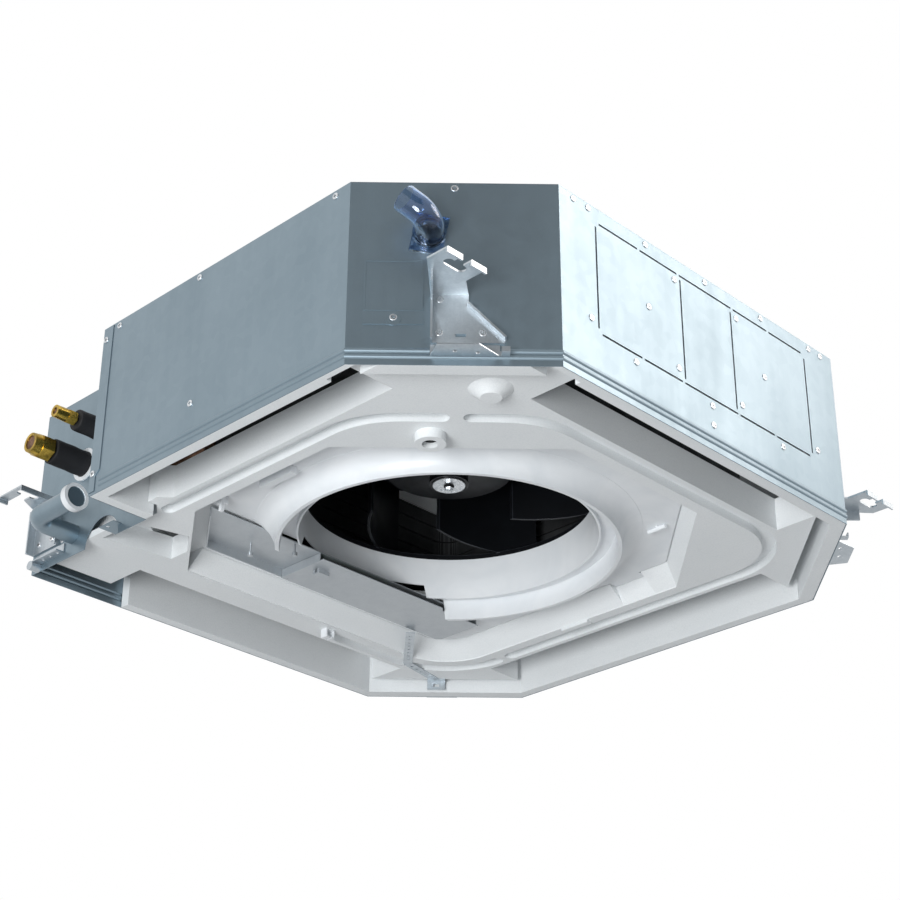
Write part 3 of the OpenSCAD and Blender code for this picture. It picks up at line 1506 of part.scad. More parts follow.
// plate with a row of holes beside the pipes, and its bolt
module lower_plate_left() {
  w = left_shelf_y[1] - left_shelf_y[0];
  translate([-notch_x, left_shelf_y[1], shelf_low_z]) rotate([0, 0, -2 * turn]) {
    translate([0, -shelf_out / 2, 0]) difference() {
      cube([w, shelf_out / 2, shelf_t]);
      for (x = [w / 8:w / 4:w]) translate([x, shelf_out / 4, -over])
        cylinder(r = shelf_hole_r, h = shelf_t + 2 * over);
    }
    translate([0, -shelf_t, 0]) cube([w, shelf_t, shelf_back]);
    translate([left_bolt_r, 0, shelf_t - left_bolt_r]) rotate([2 * turn, 0, 0])
      cylinder(r = left_bolt_r, h = left_bolt_l);
  }
}

module lower_plates() {
  color("lightslategray") {
    for (k = [1, 3, 7]) on_side(k) mirror([k == 1 ? 1 : 0, 0, 0]) lower_plate();
    lower_plate_left();
  }
}

module service_cover() {
  color("lightslategray") on_side(7) rotate([2 * turn, 0, 0]) {
    linear_extrude(cover_t / 2)
      polygon([[cover_left - cover_border, cover_z0 - cover_flap], [cover_right + cover_border,
        cover_z0 - cover_flap], [cover_right + cover_border, cover_z1 + cover_border],
        [cover_left - cover_border, cover_z1 + cover_border]]);
    linear_extrude(cover_t) difference() {
      translate([cover_left - cover_border, cover_z0 - cover_border])
        square([cover_right - cover_left + 2 * cover_border, cover_z1 - cover_z0 + 2 * cover_border]);
      translate([cover_left, cover_z0]) square([cover_right - cover_left, cover_z1 - cover_z0]);
    }
    translate([cover_left - cover_border, cover_z0 - cover_flap, 0])
      cube([cover_right - cover_left + 2 * cover_border, cover_border, cover_t]);
    translate([cover_screw[0], cover_screw[1], 0]) cylinder(r = 2 * screw_r, h = cover_t);
  }
}

// frame of the drain outlet: local +Z out of the corner
module at_drain() {
  on_side(7) translate([drain_u, 0, drain_z]) rotate([2 * turn, 0, 0]) children();
}

module drain_run(r, l, back) {
  rotate([0, 0, -drain_lean]) translate([0, 0, -back])
    cylinder(r = r, h = drain_stub + drain_flange_t + back);
  rotate([0, 0, 4 * turn - drain_lean]) translate([0, 0, drain_stub + drain_flange_t])
    translate([drain_bend, 0, 0]) {
      rotate([2 * turn, 0, 0]) rotate([0, 0, 2 * turn])
        rotate_extrude(angle = 2 * turn) translate([drain_bend, 0]) circle(r = r);
      translate([0, 0, drain_bend]) rotate([0, 2 * turn, 0])
        rotate([0, 0, 4 * turn]) cylinder(r = r, h = l);
    }
}

module drain_outlet() {
  color([0.45, 0.6, 0.9, 0.5]) at_drain() difference() {
    union() {
      drain_run(drain_r, drain_l, 0);
      linear_extrude(drain_flange_t) rotate([0, 0, -drain_lean / 4])
        square([2 * drain_flange[0], 2 * drain_flange[1]], center = true);
      cylinder(r = drain_r + drain_rim, h = 2 * drain_flange_t);
    }
    drain_run(drain_r - drain_t, drain_l + over, over);
  }
}

module at_pump() {
  at_front(cone_u, cone_d) children();
}

module drain_pump() {
  color("ivory") difference() {
    union() {
      at_pump() {
        translate([0, 0, pump_z0]) cylinder(r = pump_r, h = pump_z1 - pump_z0);
        translate([0, 0, pump_throat_z]) cylinder(r = pump_throat_r, h = pump_z0 - pump_throat_z);
        translate([0, 0, pump_z1]) rotate([0, 0, turn])
          cylinder(r = pump_motor_r, h = pump_motor_h);
      }
      on_side(7) translate([cone_u - pump_throat_r, flat_d - cone_d - pump_throat_r, pump_z1])
        cube([2 * pump_throat_r + float_off, 2 * pump_throat_r, pump_plate_t]);
      on_side(7) translate([cone_u + float_off, flat_d - cone_d, stem_z])
        cylinder(r = stem_r, h = pump_z1 - stem_z);
      on_side(7) translate([cone_u + float_off, flat_d - cone_d, stem_z])
        cylinder(r = 2 * stem_r, h = stem_r / 2);
      on_side(7) translate([cone_u - pump_plate_t, foam_deep_t + foam_gap, pump_z1])
        cube([2 * pump_plate_t, flat_d - cone_d - foam_deep_t, pump_motor_h / 2]);
    }
    at_pump() translate([0, 0, pump_throat_z - over])
      cylinder(r = pump_throat_r - pump_wall, h = pump_z0 - pump_throat_z);
    at_pump() cylinder(r = pump_shaft_r + run_gap, h = pump_z1);
  }
}

module pump_impeller() {
  color("gray") at_pump() {
    translate([0, 0, impeller_z])
      cylinder(r = pump_shaft_r, h = (pump_z0 + pump_z1) / 2 - impeller_z);
    for (i = [0:vanes - 1]) rotate([0, 0, i * 8 * turn / vanes])
      translate([0, -vane_t / 2, impeller_z]) cube([impeller_r, vane_t, impeller_h]);
  }
}

module float() {
  color("white") at_front(cone_u + float_off, cone_d) translate([0, 0, float_z]) difference() {
    cylinder(r = float_r, h = float_h);
    translate([0, 0, -over]) cylinder(r = stem_r + run_gap, h = float_h + 2 * over);
  }
}

// rises beside the pump and runs to the outlet in the corner
module drain_hose() {
  nozzle_r = hose_r + pump_wall / 2;
  y1 = foam_deep_t + nozzle_r * root2 + foam_gap;
  z1 = (pump_z0 + pump_z1) / 2;
  to_pump = [cone_u - drain_u, flat_d - cone_d - y1];
  color("lightgray") on_side(7) translate([drain_u, 0, 0]) {
    translate([0, 0, drain_z]) rotate([-2 * turn, 0, 0])
      cylinder(r = drain_r - drain_t, h = y1 + nozzle_r);
    translate([0, y1, z1]) {
      cylinder(r = hose_r, h = drain_z - z1);
      rotate([0, 0, atan2(to_pump[1], to_pump[0])]) rotate([0, 2 * turn, 0])
        translate([0, 0, -nozzle_r])
          cylinder(r = nozzle_r, h = norm(to_pump) - pump_r - foam_gap + nozzle_r);
    }
  }
}

module box_outline(t) {
  p = box_pts;
  polygon([p[0] + [2 * t, t], p[1] + [t / 2, -t], p[2] + [-t / 2, -t], p[3] + [-t, -t / 2], p[4] + [-t, t]]);
}

module control_box() {
  color("silver") {
    translate([0, 0, box_base_z]) linear_extrude(box_t) box_outline(0);
    translate([0, 0, box_z0 + box_t]) linear_extrude(box_base_z - box_z0 - box_t) difference() {
      box_outline(0);
      box_outline(box_t);
      // open towards the fan
      square([2 * half, 2 * (box_pts[0][1] + 2 * box_t)], center = true);
    }
    for (p = box_feet) translate([p[0], p[1], box_base_z])
      cylinder(r = standoff_r, h = shelf_z - box_base_z);
    for (p = standoffs) {
      translate([p[0], p[1], box_base_z - pin_l]) cylinder(r = standoff_r, h = standoff_l);
      translate([p[0], p[1], box_base_z - pin_l]) cylinder(r = pin_r, h = pin_l);
    }
  }
}

module box_cover() {
  near = box_lid_near;
  y0 = box_pts[0][1];
  color("silver") difference() {
    union() {
      translate([0, 0, box_z0]) linear_extrude(box_t) intersection() {
        union() {
          box_outline(0);
          polygon([[box_lid_x, near[1]], near, near + (y0 - near[1]) * [1, 1], [near[0], y0 + box_t],
            [box_lid_x, y0 + box_t]]);
        }
        translate([box_lid_x, 0]) square([half, half]);
      }
      translate([box_lid_x, y0, box_z0])
        cube([box_t, box_pts[1][1] - y0 - box_t - box_gap, box_base_z - box_z0 - box_gap]);
      translate([saddle_at[0], saddle_at[1], box_z0 - saddle[2]]) difference() {
        cube([saddle[0], 3 * saddle[1], saddle[2]]);
        translate([-over, saddle[1], saddle[2] / 3])
          cube([saddle[0] + 2 * over, saddle[1], saddle[2]]);
      }
    }
  }
}

module circuit_board() {
  color("darkgreen") translate([board_at[0], board_at[1], board_z]) cube(board);
  color("dimgray") {
    for (p = board_parts) translate([p[0], p[1], board_z - p[4]]) cube([p[2], p[3], p[4]]);
    for (x = [standoff_r, board[0] - standoff_r]) for (y = [standoff_r, board[1] - standoff_r])
      translate([board_at[0] + x, board_at[1] + y, board_z + board[2]])
        cylinder(r = pin_r, h = box_base_z - board_z - board[2]);
  }
}

module terminal_block() {
  step = terminal[0] / ways;
  color("ivory") translate([terminal_at[0], terminal_at[1], box_base_z - terminal[2]])
    difference() {
      cube(terminal);
      for (i = [0:ways - 1]) translate([(i + 1 / 2) * step, terminal[1] / 2, -over])
        cylinder(r = way_r, h = terminal[2] / 2);
    }
}

module box_screws() {
  color("whitesmoke") for (x = lid_screws)
    translate([x, box_pts[1][1] - lid_screw_in, box_z0 - small_h])
      cylinder(r = small_r, h = small_h);
}

module wire_clips() {
  color("white") {
    // clip on the rear left strip
    translate([clip_at[0], clip_at[1], pan_z0 - clip[2]]) difference() {
      cube(clip);
      translate([clip_t, -over, clip_t])
        cube([clip[0] - 2 * clip_t, clip[1] + 2 * over, clip[2] - 2 * clip_t]);
      translate([clip[0] / 2, -over, -over]) cube([clip_t, clip[1] + 2 * over, clip[2] / 2]);
    }
    // pin clip and rail under the inlet moulding
    translate([pin_clip_at[0], pin_clip_at[1], shelf_z - inlet_t - pin_clip[2]])
      cube([pin_clip[0] / 2, pin_clip[1] / 2, pin_clip[2]]);
    translate([pin_clip_at[0], pin_clip_at[1], shelf_z - inlet_t - pin_clip[2] / 2])
      cube([pin_clip[0], pin_clip[1], pin_clip[2] / 2]);
    translate([rail_a[0], rail_a[1], shelf_z - inlet_t - rail[2]]) rotate([0, 0, -2 * turn])
      cube(rail);
  }
}

module strap_leg(a, b) {
  d = b - a;
  l = norm(d);
  translate([a[0], a[1], pan_z0 - strap_t]) rotate([0, 0, atan2(d[1], d[0])]) difference() {
    translate([0, -strap_w / 2, 0]) cube([l, strap_w, strap_t]);
    for (x = [strap_step:strap_step:l - strap_step / 2]) translate([x, 0, -over])
      cylinder(r = strap_hole_r, h = strap_t + 2 * over);
  }
}

module rear_strap() {
  w = strap_hook_w / 3;
  d = foam_corner_t + strap_w / 3;
  color("silver") {
    strap_leg(strap_a, strap_b);
    strap_leg(strap_b, strap_c);
    on_side(3) {
      translate([0, d, pan_z0 - strap_t]) cube([strap_hook_w, strap_w, strap_t]);
      translate([0, d, strap_hook_z]) difference() {
        cube([strap_hook_w, strap_t, pan_z0 - strap_hook_z]);
        translate([w, -over, strap_w / 3]) cube([w, strap_t + 2 * over, w / 2]);
      }
    }
  }
}

module air_sensor() {
  color("white") translate([sensor_at[0], sensor_at[1], shelf_z - inlet_t - sensor_r])
    rotate([2 * turn, 0, 0]) {
      cylinder(r = sensor_r, h = sensor_l);
      translate([-sensor_r, 0, sensor_l / 2]) cube([2 * sensor_r, sensor_r, sensor_r]);
    }
}

side_left();
side_right();
side_rear_right();
side_rear_left();
corner_front();
corner_right();
corner_rear();
piping_plate();
end_strip();
roof_plate();
casing_screws();
foam_lining();
drain_pan();
drain_plug();
inlet_moulding();
fan_wheel();
hub_washer();
hub_grommet();
fan_nut();
fan_shaft();
fan_motor();
motor_plate();
rubber_feet();
coil_fins();
tube_plates();
return_bends();
gas_pipe();
liquid_pipe();
gas_sleeve();
liquid_sleeve();
gas_nut();
liquid_nut();
pipe_collars();
port_pipe();
port_cap();
hanger_front();
hanger_right();
hanger_rear();
hanger_left();
lower_plates();
service_cover();
drain_outlet();
drain_pump();
pump_impeller();
float();
drain_hose();
control_box();
box_cover();
circuit_board();
terminal_block();
box_screws();
wire_clips();
rear_strap();
air_sensor();
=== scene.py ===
"""Dresses the frame of a ceiling cassette body: finishes, rounded edges, screws and sleeves."""
import json
import math

import bpy
from mathutils import Matrix, Vector

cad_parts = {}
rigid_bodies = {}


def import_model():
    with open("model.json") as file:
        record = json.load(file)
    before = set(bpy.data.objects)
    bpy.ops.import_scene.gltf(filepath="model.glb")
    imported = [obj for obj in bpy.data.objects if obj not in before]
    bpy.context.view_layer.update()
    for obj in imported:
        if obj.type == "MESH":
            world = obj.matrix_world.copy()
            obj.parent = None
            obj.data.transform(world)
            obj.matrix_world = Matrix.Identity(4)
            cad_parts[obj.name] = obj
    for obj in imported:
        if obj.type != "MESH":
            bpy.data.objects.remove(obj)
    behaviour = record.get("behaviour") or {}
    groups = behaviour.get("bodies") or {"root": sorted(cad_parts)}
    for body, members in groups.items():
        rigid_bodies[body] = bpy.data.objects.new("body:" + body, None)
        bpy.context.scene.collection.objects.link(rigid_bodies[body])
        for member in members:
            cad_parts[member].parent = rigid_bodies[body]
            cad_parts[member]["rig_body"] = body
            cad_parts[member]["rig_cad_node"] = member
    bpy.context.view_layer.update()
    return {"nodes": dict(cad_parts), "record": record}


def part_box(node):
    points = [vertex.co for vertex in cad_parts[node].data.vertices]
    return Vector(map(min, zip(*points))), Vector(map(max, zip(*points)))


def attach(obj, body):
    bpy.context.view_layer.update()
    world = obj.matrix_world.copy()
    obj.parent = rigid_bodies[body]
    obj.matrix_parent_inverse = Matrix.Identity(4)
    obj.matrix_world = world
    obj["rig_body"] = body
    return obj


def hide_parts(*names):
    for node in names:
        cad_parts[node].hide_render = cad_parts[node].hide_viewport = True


bl_info = {
    "name": "Ceiling cassette body",
    "version": (1, 0, 0),
    "blender": (4, 5, 0),
    "location": "View3D > Sidebar > Cassette",
    "description": "Finishes a ceiling cassette air conditioner body around its fixed frame",
    "category": "Object",
}

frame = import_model()
NODES = frame["nodes"]
SLOTS = {row["node"]: row["material_slot"] for row in frame["record"]["subparts"]}
MM = 0.001

# Points and reaches closer than these count as the same
WELD = 0.02 * MM
RING_REACH = 0.01 * MM
SAME_REACH = 0.001 * MM

# Angles between neighbouring faces
FLAT_TURN = math.radians(0.6)
ROUNDED_TURN = math.radians(30)
RIM_TURN = math.radians(60)
SHARP_TURN = math.radians(32)
SOFT_SHARP_TURN = math.radians(40)

# How far a face's normal has to reach along an axis to be taken as facing that way
FACING = 0.5
FACING_WELL = 0.9

# The plated middle of the port cap: its radius as a part of the cap's width
PLATED_PART = 0.4

# Screw heads: the dome and the ends are parts of the head's height. The turns, in degrees, are
# the level ways that a head is tried along.
HEAD_SIDES = 20
HEAD_DOME = 0.30
HEAD_DOME_STEPS = 3
HEAD_END = 0.02
HEAD_TURNS = range(0, 180, 15)
UP = Vector((0, 0, 1))

# Foam sleeves: the skin is what lies beyond this part of the radius. Each wave in it has its
# count round the sleeve and its drift per metre of length.
SLEEVE_SIDES = 48
SLEEVE_LENGTHS = 12
SLEEVE_RIM_STEPS = 4
SLEEVE_SKIN = 0.9
SLEEVE_SWING = 0.5
SLEEVE_WAVES = ((3, 300), (5, -190))


# Sizes and colours that a user would change


def amount_property(name, value, description, **settings):
    """One number of the panel."""
    return bpy.props.FloatProperty(name=name, description=description, default=value, **settings)


def length_property(name, value, description):
    """One length of the panel, never below nought."""
    return amount_property(name, value, description, min=0, unit="LENGTH", subtype="DISTANCE")


def colour_property(name, value, description):
    """One colour of the panel."""
    return bpy.props.FloatVectorProperty(
        name=name, description=description, default=value, size=3, min=0, max=1, subtype="COLOR")


def place_property(name, value, description):
    """One place in the room."""
    return bpy.props.FloatVectorProperty(
        name=name, description=description, default=value, size=3, unit="LENGTH",
        subtype="TRANSLATION")


class CassetteFinish(bpy.types.PropertyGroup):
    """Colours of the body's finishes"""
    steel: colour_property(
        "Steel", (0.26, 0.33, 0.38), "Plain face of the casing sheet")
    steel_dark: colour_property(
        "Steel shade", (0.215, 0.28, 0.325), "Darker crystals of the zinc coat")
    bracket: colour_property(
        "Bracket", (0.62, 0.66, 0.69), "Zinc-plated hangers and straps")
    bracket_dark: colour_property(
        "Bracket shade", (0.42, 0.47, 0.51), "Darker patches of the plating")
    box: colour_property(
        "Box sheet", (0.50, 0.53, 0.55), "Smooth sheet of the control box")
    box_dark: colour_property(
        "Box sheet shade", (0.40, 0.43, 0.46), "Rolling marks on the control box")
    foam: colour_property(
        "Foam", (0.86, 0.88, 0.89), "Moulded foam of the pan and lining")
    foam_dark: colour_property(
        "Foam shade", (0.76, 0.79, 0.81), "Seams between the foam's beads")
    white: colour_property(
        "White moulding", (0.84, 0.86, 0.88), "Inlet moulding and clips")
    white_dark: colour_property(
        "White moulding shade", (0.74, 0.77, 0.80), "Flow marks in the moulding")
    black: colour_property("Black moulding", (0.008, 0.009, 0.011), "Fan wheel")
    brass: colour_property("Brass", (0.62, 0.42, 0.08), "Flare nuts")
    copper: colour_property("Copper", (0.24, 0.13, 0.08), "Darkened pipes of the coil")
    blue: colour_property("Clear blue", (0.54, 0.69, 0.92), "Drain outlet")


class CassetteSize(bpy.types.PropertyGroup):
    """Sizes of the rounding and of the new shapes"""
    edge: length_property(
        "Edge rounding", 0.8 * MM, "Greatest rounding of the moulded edges")
    small_edge: length_property(
        "Small rounding", 0.4 * MM, "Greatest rounding of small fittings and thick sheet")
    sheet_edge: length_property(
        "Sheet rounding", 0.2 * MM, "Greatest rounding of the cut sheet edges")
    rib_edge: length_property(
        "Rib rounding", 0.7 * MM, "Greatest rounding of the ribs pressed along the casing")
    cross_length: length_property(
        "Cross length", 4.4 * MM, "Length of a screw's cross recess")
    cross_width: length_property(
        "Cross width", 1.0 * MM, "Width of a screw's cross recess")
    cross_depth: length_property(
        "Cross depth", 1.2 * MM, "Depth of a screw's cross recess")
    sleeve_rim: length_property(
        "Sleeve rim", 2.0 * MM, "Rounding of the foam sleeves' ends")
    sleeve_wave: length_property(
        "Sleeve wave", 0.35 * MM, "Unevenness of the foam sleeves on the pipes")
    hose_rib: length_property(
        "Hose rib", 4 * MM, "Spacing of the drain hose's ribs")
    hose_ripple: length_property(
        "Hose ripple", 0.9 * MM, "Depth between the drain hose's ribs")
    hose_foot: length_property(
        "Hose foot", 24 * MM, "Plain length at the lower end of the hose")
    hose_head: length_property(
        "Hose head", 34 * MM, "Plain length at the upper end of the hose")


class CassetteStage(bpy.types.PropertyGroup):
    """Floor, card, lights and camera"""
    floor_z: amount_property(
        "Floor height", -3.0, "Height of the floor under the hanging body",
        unit="LENGTH", subtype="DISTANCE")
    floor_half: length_property("Floor half width", 9.0, "Half the floor's width")
    floor_pale: amount_property(
        "Floor paleness", 0.7, "How far the floor shows its own pale tone", min=0, max=1)
    floor_glow: colour_property(
        "Floor tone", (0.93, 0.94, 0.95), "Pale tone that the floor shows of its own")
    floor_light: colour_property("Floor", (0.82, 0.83, 0.84), "Lighter clouds of the floor")
    floor_dark: colour_property("Floor shade", (0.78, 0.79, 0.80), "Darker clouds of the floor")
    card_place: place_property(
        "Card place", (-2.0, -2.0, 1.45), "Where the grey card hangs, out of sight")
    card_size: length_property("Card size", 1.9, "Width of the grey card")
    card_light: colour_property("Card", (0.08, 0.08, 0.085), "Lighter spots of the card")
    card_dark: colour_property("Card shade", (0.05, 0.05, 0.055), "Darker spots of the card")
    lens: amount_property(
        "Lens", 77.53, "Focal length of the camera in millimetres", min=1, unit="CAMERA")
    camera_place: place_property(
        "Camera place", (-1.580, -1.552, -1.028), "Where the camera stands")
    camera_turn: bpy.props.FloatVectorProperty(
        name="Camera turn", description="Yaw, pitch and roll of the camera",
        default=[math.radians(angle) for angle in (44.46, 28.15, 0.32)], size=3, subtype="EULER")
    ambient: amount_property(
        "Ambient light", 0.19, "Strength of the even light around the body", min=0)
    ambient_colour: colour_property(
        "Ambient colour", (0.88, 0.95, 1.0), "Colour of the even light")
    key: amount_property(
        "Right light", 56, "Power of the large lamp on the right", min=0, unit="POWER")
    key_place: place_property(
        "Right light's place", (1.72, -2.6, 1.9), "Where the large lamp hangs")
    key_aim: place_property(
        "Right light's aim", (0.0, -0.42, 0.12), "The point that the large lamp faces")
    key_size: length_property("Right light's size", 2.1, "Width of the large lamp")
    key_colour: colour_property(
        "Right light's colour", (1.0, 0.90, 0.82), "Warm light of the large lamp")
    front: amount_property(
        "Left light", 118, "Power of the lamp on the left of the camera", min=0, unit="POWER")
    front_place: place_property(
        "Left light's place", (-3.4, -1.2, -1.4), "Where the left lamp stands")
    front_aim: place_property(
        "Left light's aim", (0.0, 0.0, 0.05), "The point that the left lamp faces")
    front_size: length_property("Left light's size", 1.8, "Width of the left lamp")
    front_colour: colour_property(
        "Left light's colour", (0.97, 0.99, 1.0), "Cool light of the left lamp")


# Shader node helpers

FLOAT, COLOUR, VECTOR = "NodeSocketFloat", "NodeSocketColor", "NodeSocketVector"


def add_node(tree, kind, inputs=None, **settings):
    """One shader node, with its settings and the values of its inputs."""
    node = tree.nodes.new(kind)
    for key, value in settings.items():
        setattr(node, key, value)
    for key, value in (inputs or {}).items():
        if isinstance(value, bpy.types.NodeSocket):
            tree.links.new(value, node.inputs[key])
        else:
            node.inputs[key].default_value = value
    return node


def math_node(tree, operation, a, b, clamp=False):
    """The result of one sum."""
    node = add_node(tree, "ShaderNodeMath", {0: a, 1: b}, operation=operation, use_clamp=clamp)
    return node.outputs[0]


def scaled_vector(tree, vector, scale):
    """A vector multiplied along each axis."""
    node = add_node(tree, "ShaderNodeVectorMath", {0: vector, 1: scale}, operation="MULTIPLY")
    return node.outputs[0]


def noise(tree, vector, scale, detail, **inputs):
    """The value of a noise texture."""
    node = add_node(tree, "ShaderNodeTexNoise", {
        "Vector": vector, "Scale": scale, "Detail": detail, **inputs})
    return node.outputs["Fac"]


def spread(tree, value, between, to=(0.0, 1.0)):
    """Maps a value from one range to another, held at its ends."""
    node = add_node(tree, "ShaderNodeMapRange", {
        "Value": value, "From Min": between[0], "From Max": between[1],
        "To Min": to[0], "To Max": to[1]})
    return node.outputs["Result"]


def mixed_colour(tree, factor, a, b):
    """A colour between two others."""
    node = add_node(tree, "ShaderNodeMix", {"Factor": factor, 6: a, 7: b}, data_type="RGBA")
    return node.outputs[2]


def seen_directly(tree):
    """1 for rays from the camera, through glass or off a mirror, and 0 for light."""
    rays = add_node(tree, "ShaderNodeLightPath").outputs
    seen = math_node(tree, "MAXIMUM", rays["Is Camera Ray"], rays["Is Transmission Ray"])
    return math_node(tree, "MAXIMUM", seen, rays["Is Glossy Ray"])


# Shared surface effects


def surface_group(name, light, dark, smooth, rough, scales):
    """A node group with the sockets that every surface effect has, and its inputs."""
    tree = bpy.data.node_groups.new(name, "ShaderNodeTree")
    rows = [("Vector", VECTOR, None), ("Light", COLOUR, (*light, 1)), ("Dark", COLOUR, (*dark, 1))]
    rows += [(label, FLOAT, scale) for label, scale in scales.items()]
    rows += [("Smooth", FLOAT, smooth), ("Rough", FLOAT, rough)]
    for label, kind, value in rows:
        socket = tree.interface.new_socket(name=label, in_out="INPUT", socket_type=kind)
        if value is not None:
            socket.default_value = value
    for label, kind in (("Color", COLOUR), ("Roughness", FLOAT), ("Height", FLOAT)):
        tree.interface.new_socket(name=label, in_out="OUTPUT", socket_type=kind)
    return tree, tree.nodes.new("NodeGroupInput").outputs


def put_out(tree, own, tone, polish, height):
    """Ends a group: tone picks its colour, polish picks its roughness."""
    colour = mixed_colour(tree, tone, own["Dark"], own["Light"])
    rough = add_node(tree, "ShaderNodeMix", {
        "Factor": polish, 2: own["Rough"], 3: own["Smooth"]}, data_type="FLOAT")
    add_node(tree, "NodeGroupOutput", {
        "Color": colour, "Roughness": rough.outputs[0], "Height": height})
    return tree


def zinc_sheet_group():
    """Rolled zinc-coated sheet: crystals, faint rolling streaks and handling marks."""
    tree, own = surface_group(
        "Zinc sheet", light=(0.5, 0.5, 0.5), dark=(0.4, 0.4, 0.4), smooth=0.3, rough=0.5,
        scales={"Crystal Scale": 90.0, "Streak Scale": 30.0})
    crystals = add_node(tree, "ShaderNodeTexVoronoi", {
        "Vector": own["Vector"], "Scale": own["Crystal Scale"], "Randomness": 1.0})
    split = add_node(tree, "ShaderNodeSeparateColor", {"Color": crystals.outputs["Color"]})
    crystal = split.outputs["Red"]
    rolled = scaled_vector(tree, own["Vector"], (1.0, 1.0, 0.04))
    streaks = noise(tree, rolled, own["Streak Scale"], detail=5.0, Roughness=0.6)
    clouds = noise(tree, own["Vector"], scale=5.0, detail=3.0)
    crystal_part = spread(tree, crystal, between=(0.0, 1.0), to=(-0.10, 0.10))
    streak_part = spread(tree, streaks, between=(0.3, 0.7), to=(-0.18, 0.18))
    cloud_part = spread(tree, clouds, between=(0.3, 0.7), to=(0.25, 0.75))
    fine_part = math_node(tree, "ADD", crystal_part, streak_part)
    blend = math_node(tree, "ADD", fine_part, cloud_part, clamp=True)
    grain = noise(tree, rolled, scale=900.0, detail=2.0)
    height = math_node(tree, "ADD", math_node(tree, "MULTIPLY", crystal, 0.15), grain)
    return put_out(tree, own, blend, blend, height)


def bead_foam_group():
    """Moulded bead foam: beads a few millimetres across, pressed flat in the mould."""
    tree, own = surface_group(
        "Bead foam", light=(0.9, 0.9, 0.9), dark=(0.8, 0.8, 0.8), smooth=0.5, rough=0.75,
        scales={"Bead Scale": 260.0})
    beads = add_node(tree, "ShaderNodeTexVoronoi", {
        "Vector": own["Vector"], "Scale": own["Bead Scale"]}, feature="DISTANCE_TO_EDGE")
    seam = spread(tree, beads.outputs["Distance"], between=(0.0, 0.10))
    clouds = noise(tree, own["Vector"], scale=9.0, detail=4.0)
    soil = spread(tree, clouds, between=(0.35, 0.65), to=(0.72, 1.0))
    bead_part = spread(tree, seam, between=(0.0, 1.0), to=(0.55, 1.0))
    blend = math_node(tree, "MULTIPLY", bead_part, soil, clamp=True)
    return put_out(tree, own, blend, blend, seam)


def moulding_group():
    """Injection-moulded plastic: spark-eroded grain and faint flow marks."""
    tree, own = surface_group(
        "Moulding", light=(0.9, 0.9, 0.9), dark=(0.8, 0.8, 0.8), smooth=0.3, rough=0.45,
        scales={"Grain Scale": 1400.0})
    grain = noise(tree, own["Vector"], own["Grain Scale"], detail=3.0, Roughness=0.55)
    flow = noise(tree, own["Vector"], scale=14.0, detail=3.0, Distortion=1.2)
    marks = spread(tree, flow, between=(0.35, 0.65), to=(0.35, 1.0))
    grain_part = spread(tree, grain, between=(0.3, 0.7), to=(-0.12, 0.12))
    blend = math_node(tree, "ADD", marks, grain_part, clamp=True)
    return put_out(tree, own, blend, marks, grain)


def turned_metal_group():
    """Machined or drawn metal: fine grain and darker tarnish."""
    tree, own = surface_group(
        "Turned metal", light=(0.6, 0.5, 0.2), dark=(0.3, 0.2, 0.1), smooth=0.25, rough=0.5,
        scales={"Line Scale": 700.0, "Tarnish Scale": 60.0})
    lines = noise(tree, own["Vector"], own["Line Scale"], detail=2.0)
    tarnish = noise(tree, own["Vector"], own["Tarnish Scale"], detail=6.0, Roughness=0.65)
    tarnish_part = spread(tree, tarnish, between=(0.35, 0.62))
    line_part = spread(tree, lines, between=(0.3, 0.7), to=(-0.15, 0.15))
    blend = math_node(tree, "ADD", tarnish_part, line_part, clamp=True)
    return put_out(tree, own, blend, blend, lines)


def fin_stack_group():
    """Thin upright fins side by side: the fins' edges in the light tone, painted shade in the dark
    gaps between them, and dented spots.
    """
    tree, own = surface_group(
        "Fin stack", light=(0.5, 0.5, 0.5), dark=(0.05, 0.05, 0.05), smooth=0.35, rough=0.6,
        scales={"Fin Scale": 420.0})
    level = scaled_vector(tree, own["Vector"], (1.0, 1.0, 0.0))
    dents = noise(tree, own["Vector"], scale=30.0, detail=3.0)
    fins = add_node(tree, "ShaderNodeTexWave", {
        "Vector": level, "Scale": own["Fin Scale"], "Distortion": 0.4, "Detail": 1.0},
        wave_type="BANDS", bands_direction="DIAGONAL")
    # 1 on a fin's edge and 0 in the gap between fins; the dark tone in the gaps is painted shade
    edge = spread(tree, fins.outputs["Fac"], between=(0.55, 0.85))
    dent_part = spread(tree, dents, between=(0.3, 0.6), to=(0.6, 1.0))
    blend = math_node(tree, "MULTIPLY", edge, dent_part, clamp=True)
    return put_out(tree, own, blend, blend, edge)


# Materials


def new_material(name):
    """A material, the inputs of its shader and the object's own coordinates."""
    mat = bpy.data.materials.new(name)
    mat.use_nodes = True
    coordinates = add_node(mat.node_tree, "ShaderNodeTexCoord").outputs["Object"]
    return mat, mat.node_tree.nodes["Principled BSDF"].inputs, coordinates


def finish(name, group, light, dark, smooth, rough, metallic, bump, relief=0.2 * MM,
           scales=None, sockets=None):
    """A material whose colour, roughness and bump come from one of the groups."""
    mat, shader, coordinates = new_material(name)
    tree = mat.node_tree
    shader["Metallic"].default_value = metallic
    for key, value in (sockets or {}).items():
        shader[key].default_value = value
    effect = add_node(tree, "ShaderNodeGroup", node_tree=group)
    tree.links.new(coordinates, effect.inputs["Vector"])
    values = {"Light": (*light, 1), "Dark": (*dark, 1), "Smooth": smooth, "Rough": rough}
    for key, value in {**values, **(scales or {})}.items():
        effect.inputs[key].default_value = value
    surface = add_node(tree, "ShaderNodeBump", {
        "Strength": bump, "Distance": relief, "Height": effect.outputs["Height"]})
    tree.links.new(effect.outputs["Color"], shader["Base Color"])
    tree.links.new(effect.outputs["Roughness"], shader["Roughness"])
    tree.links.new(surface.outputs["Normal"], shader["Normal"])
    return mat


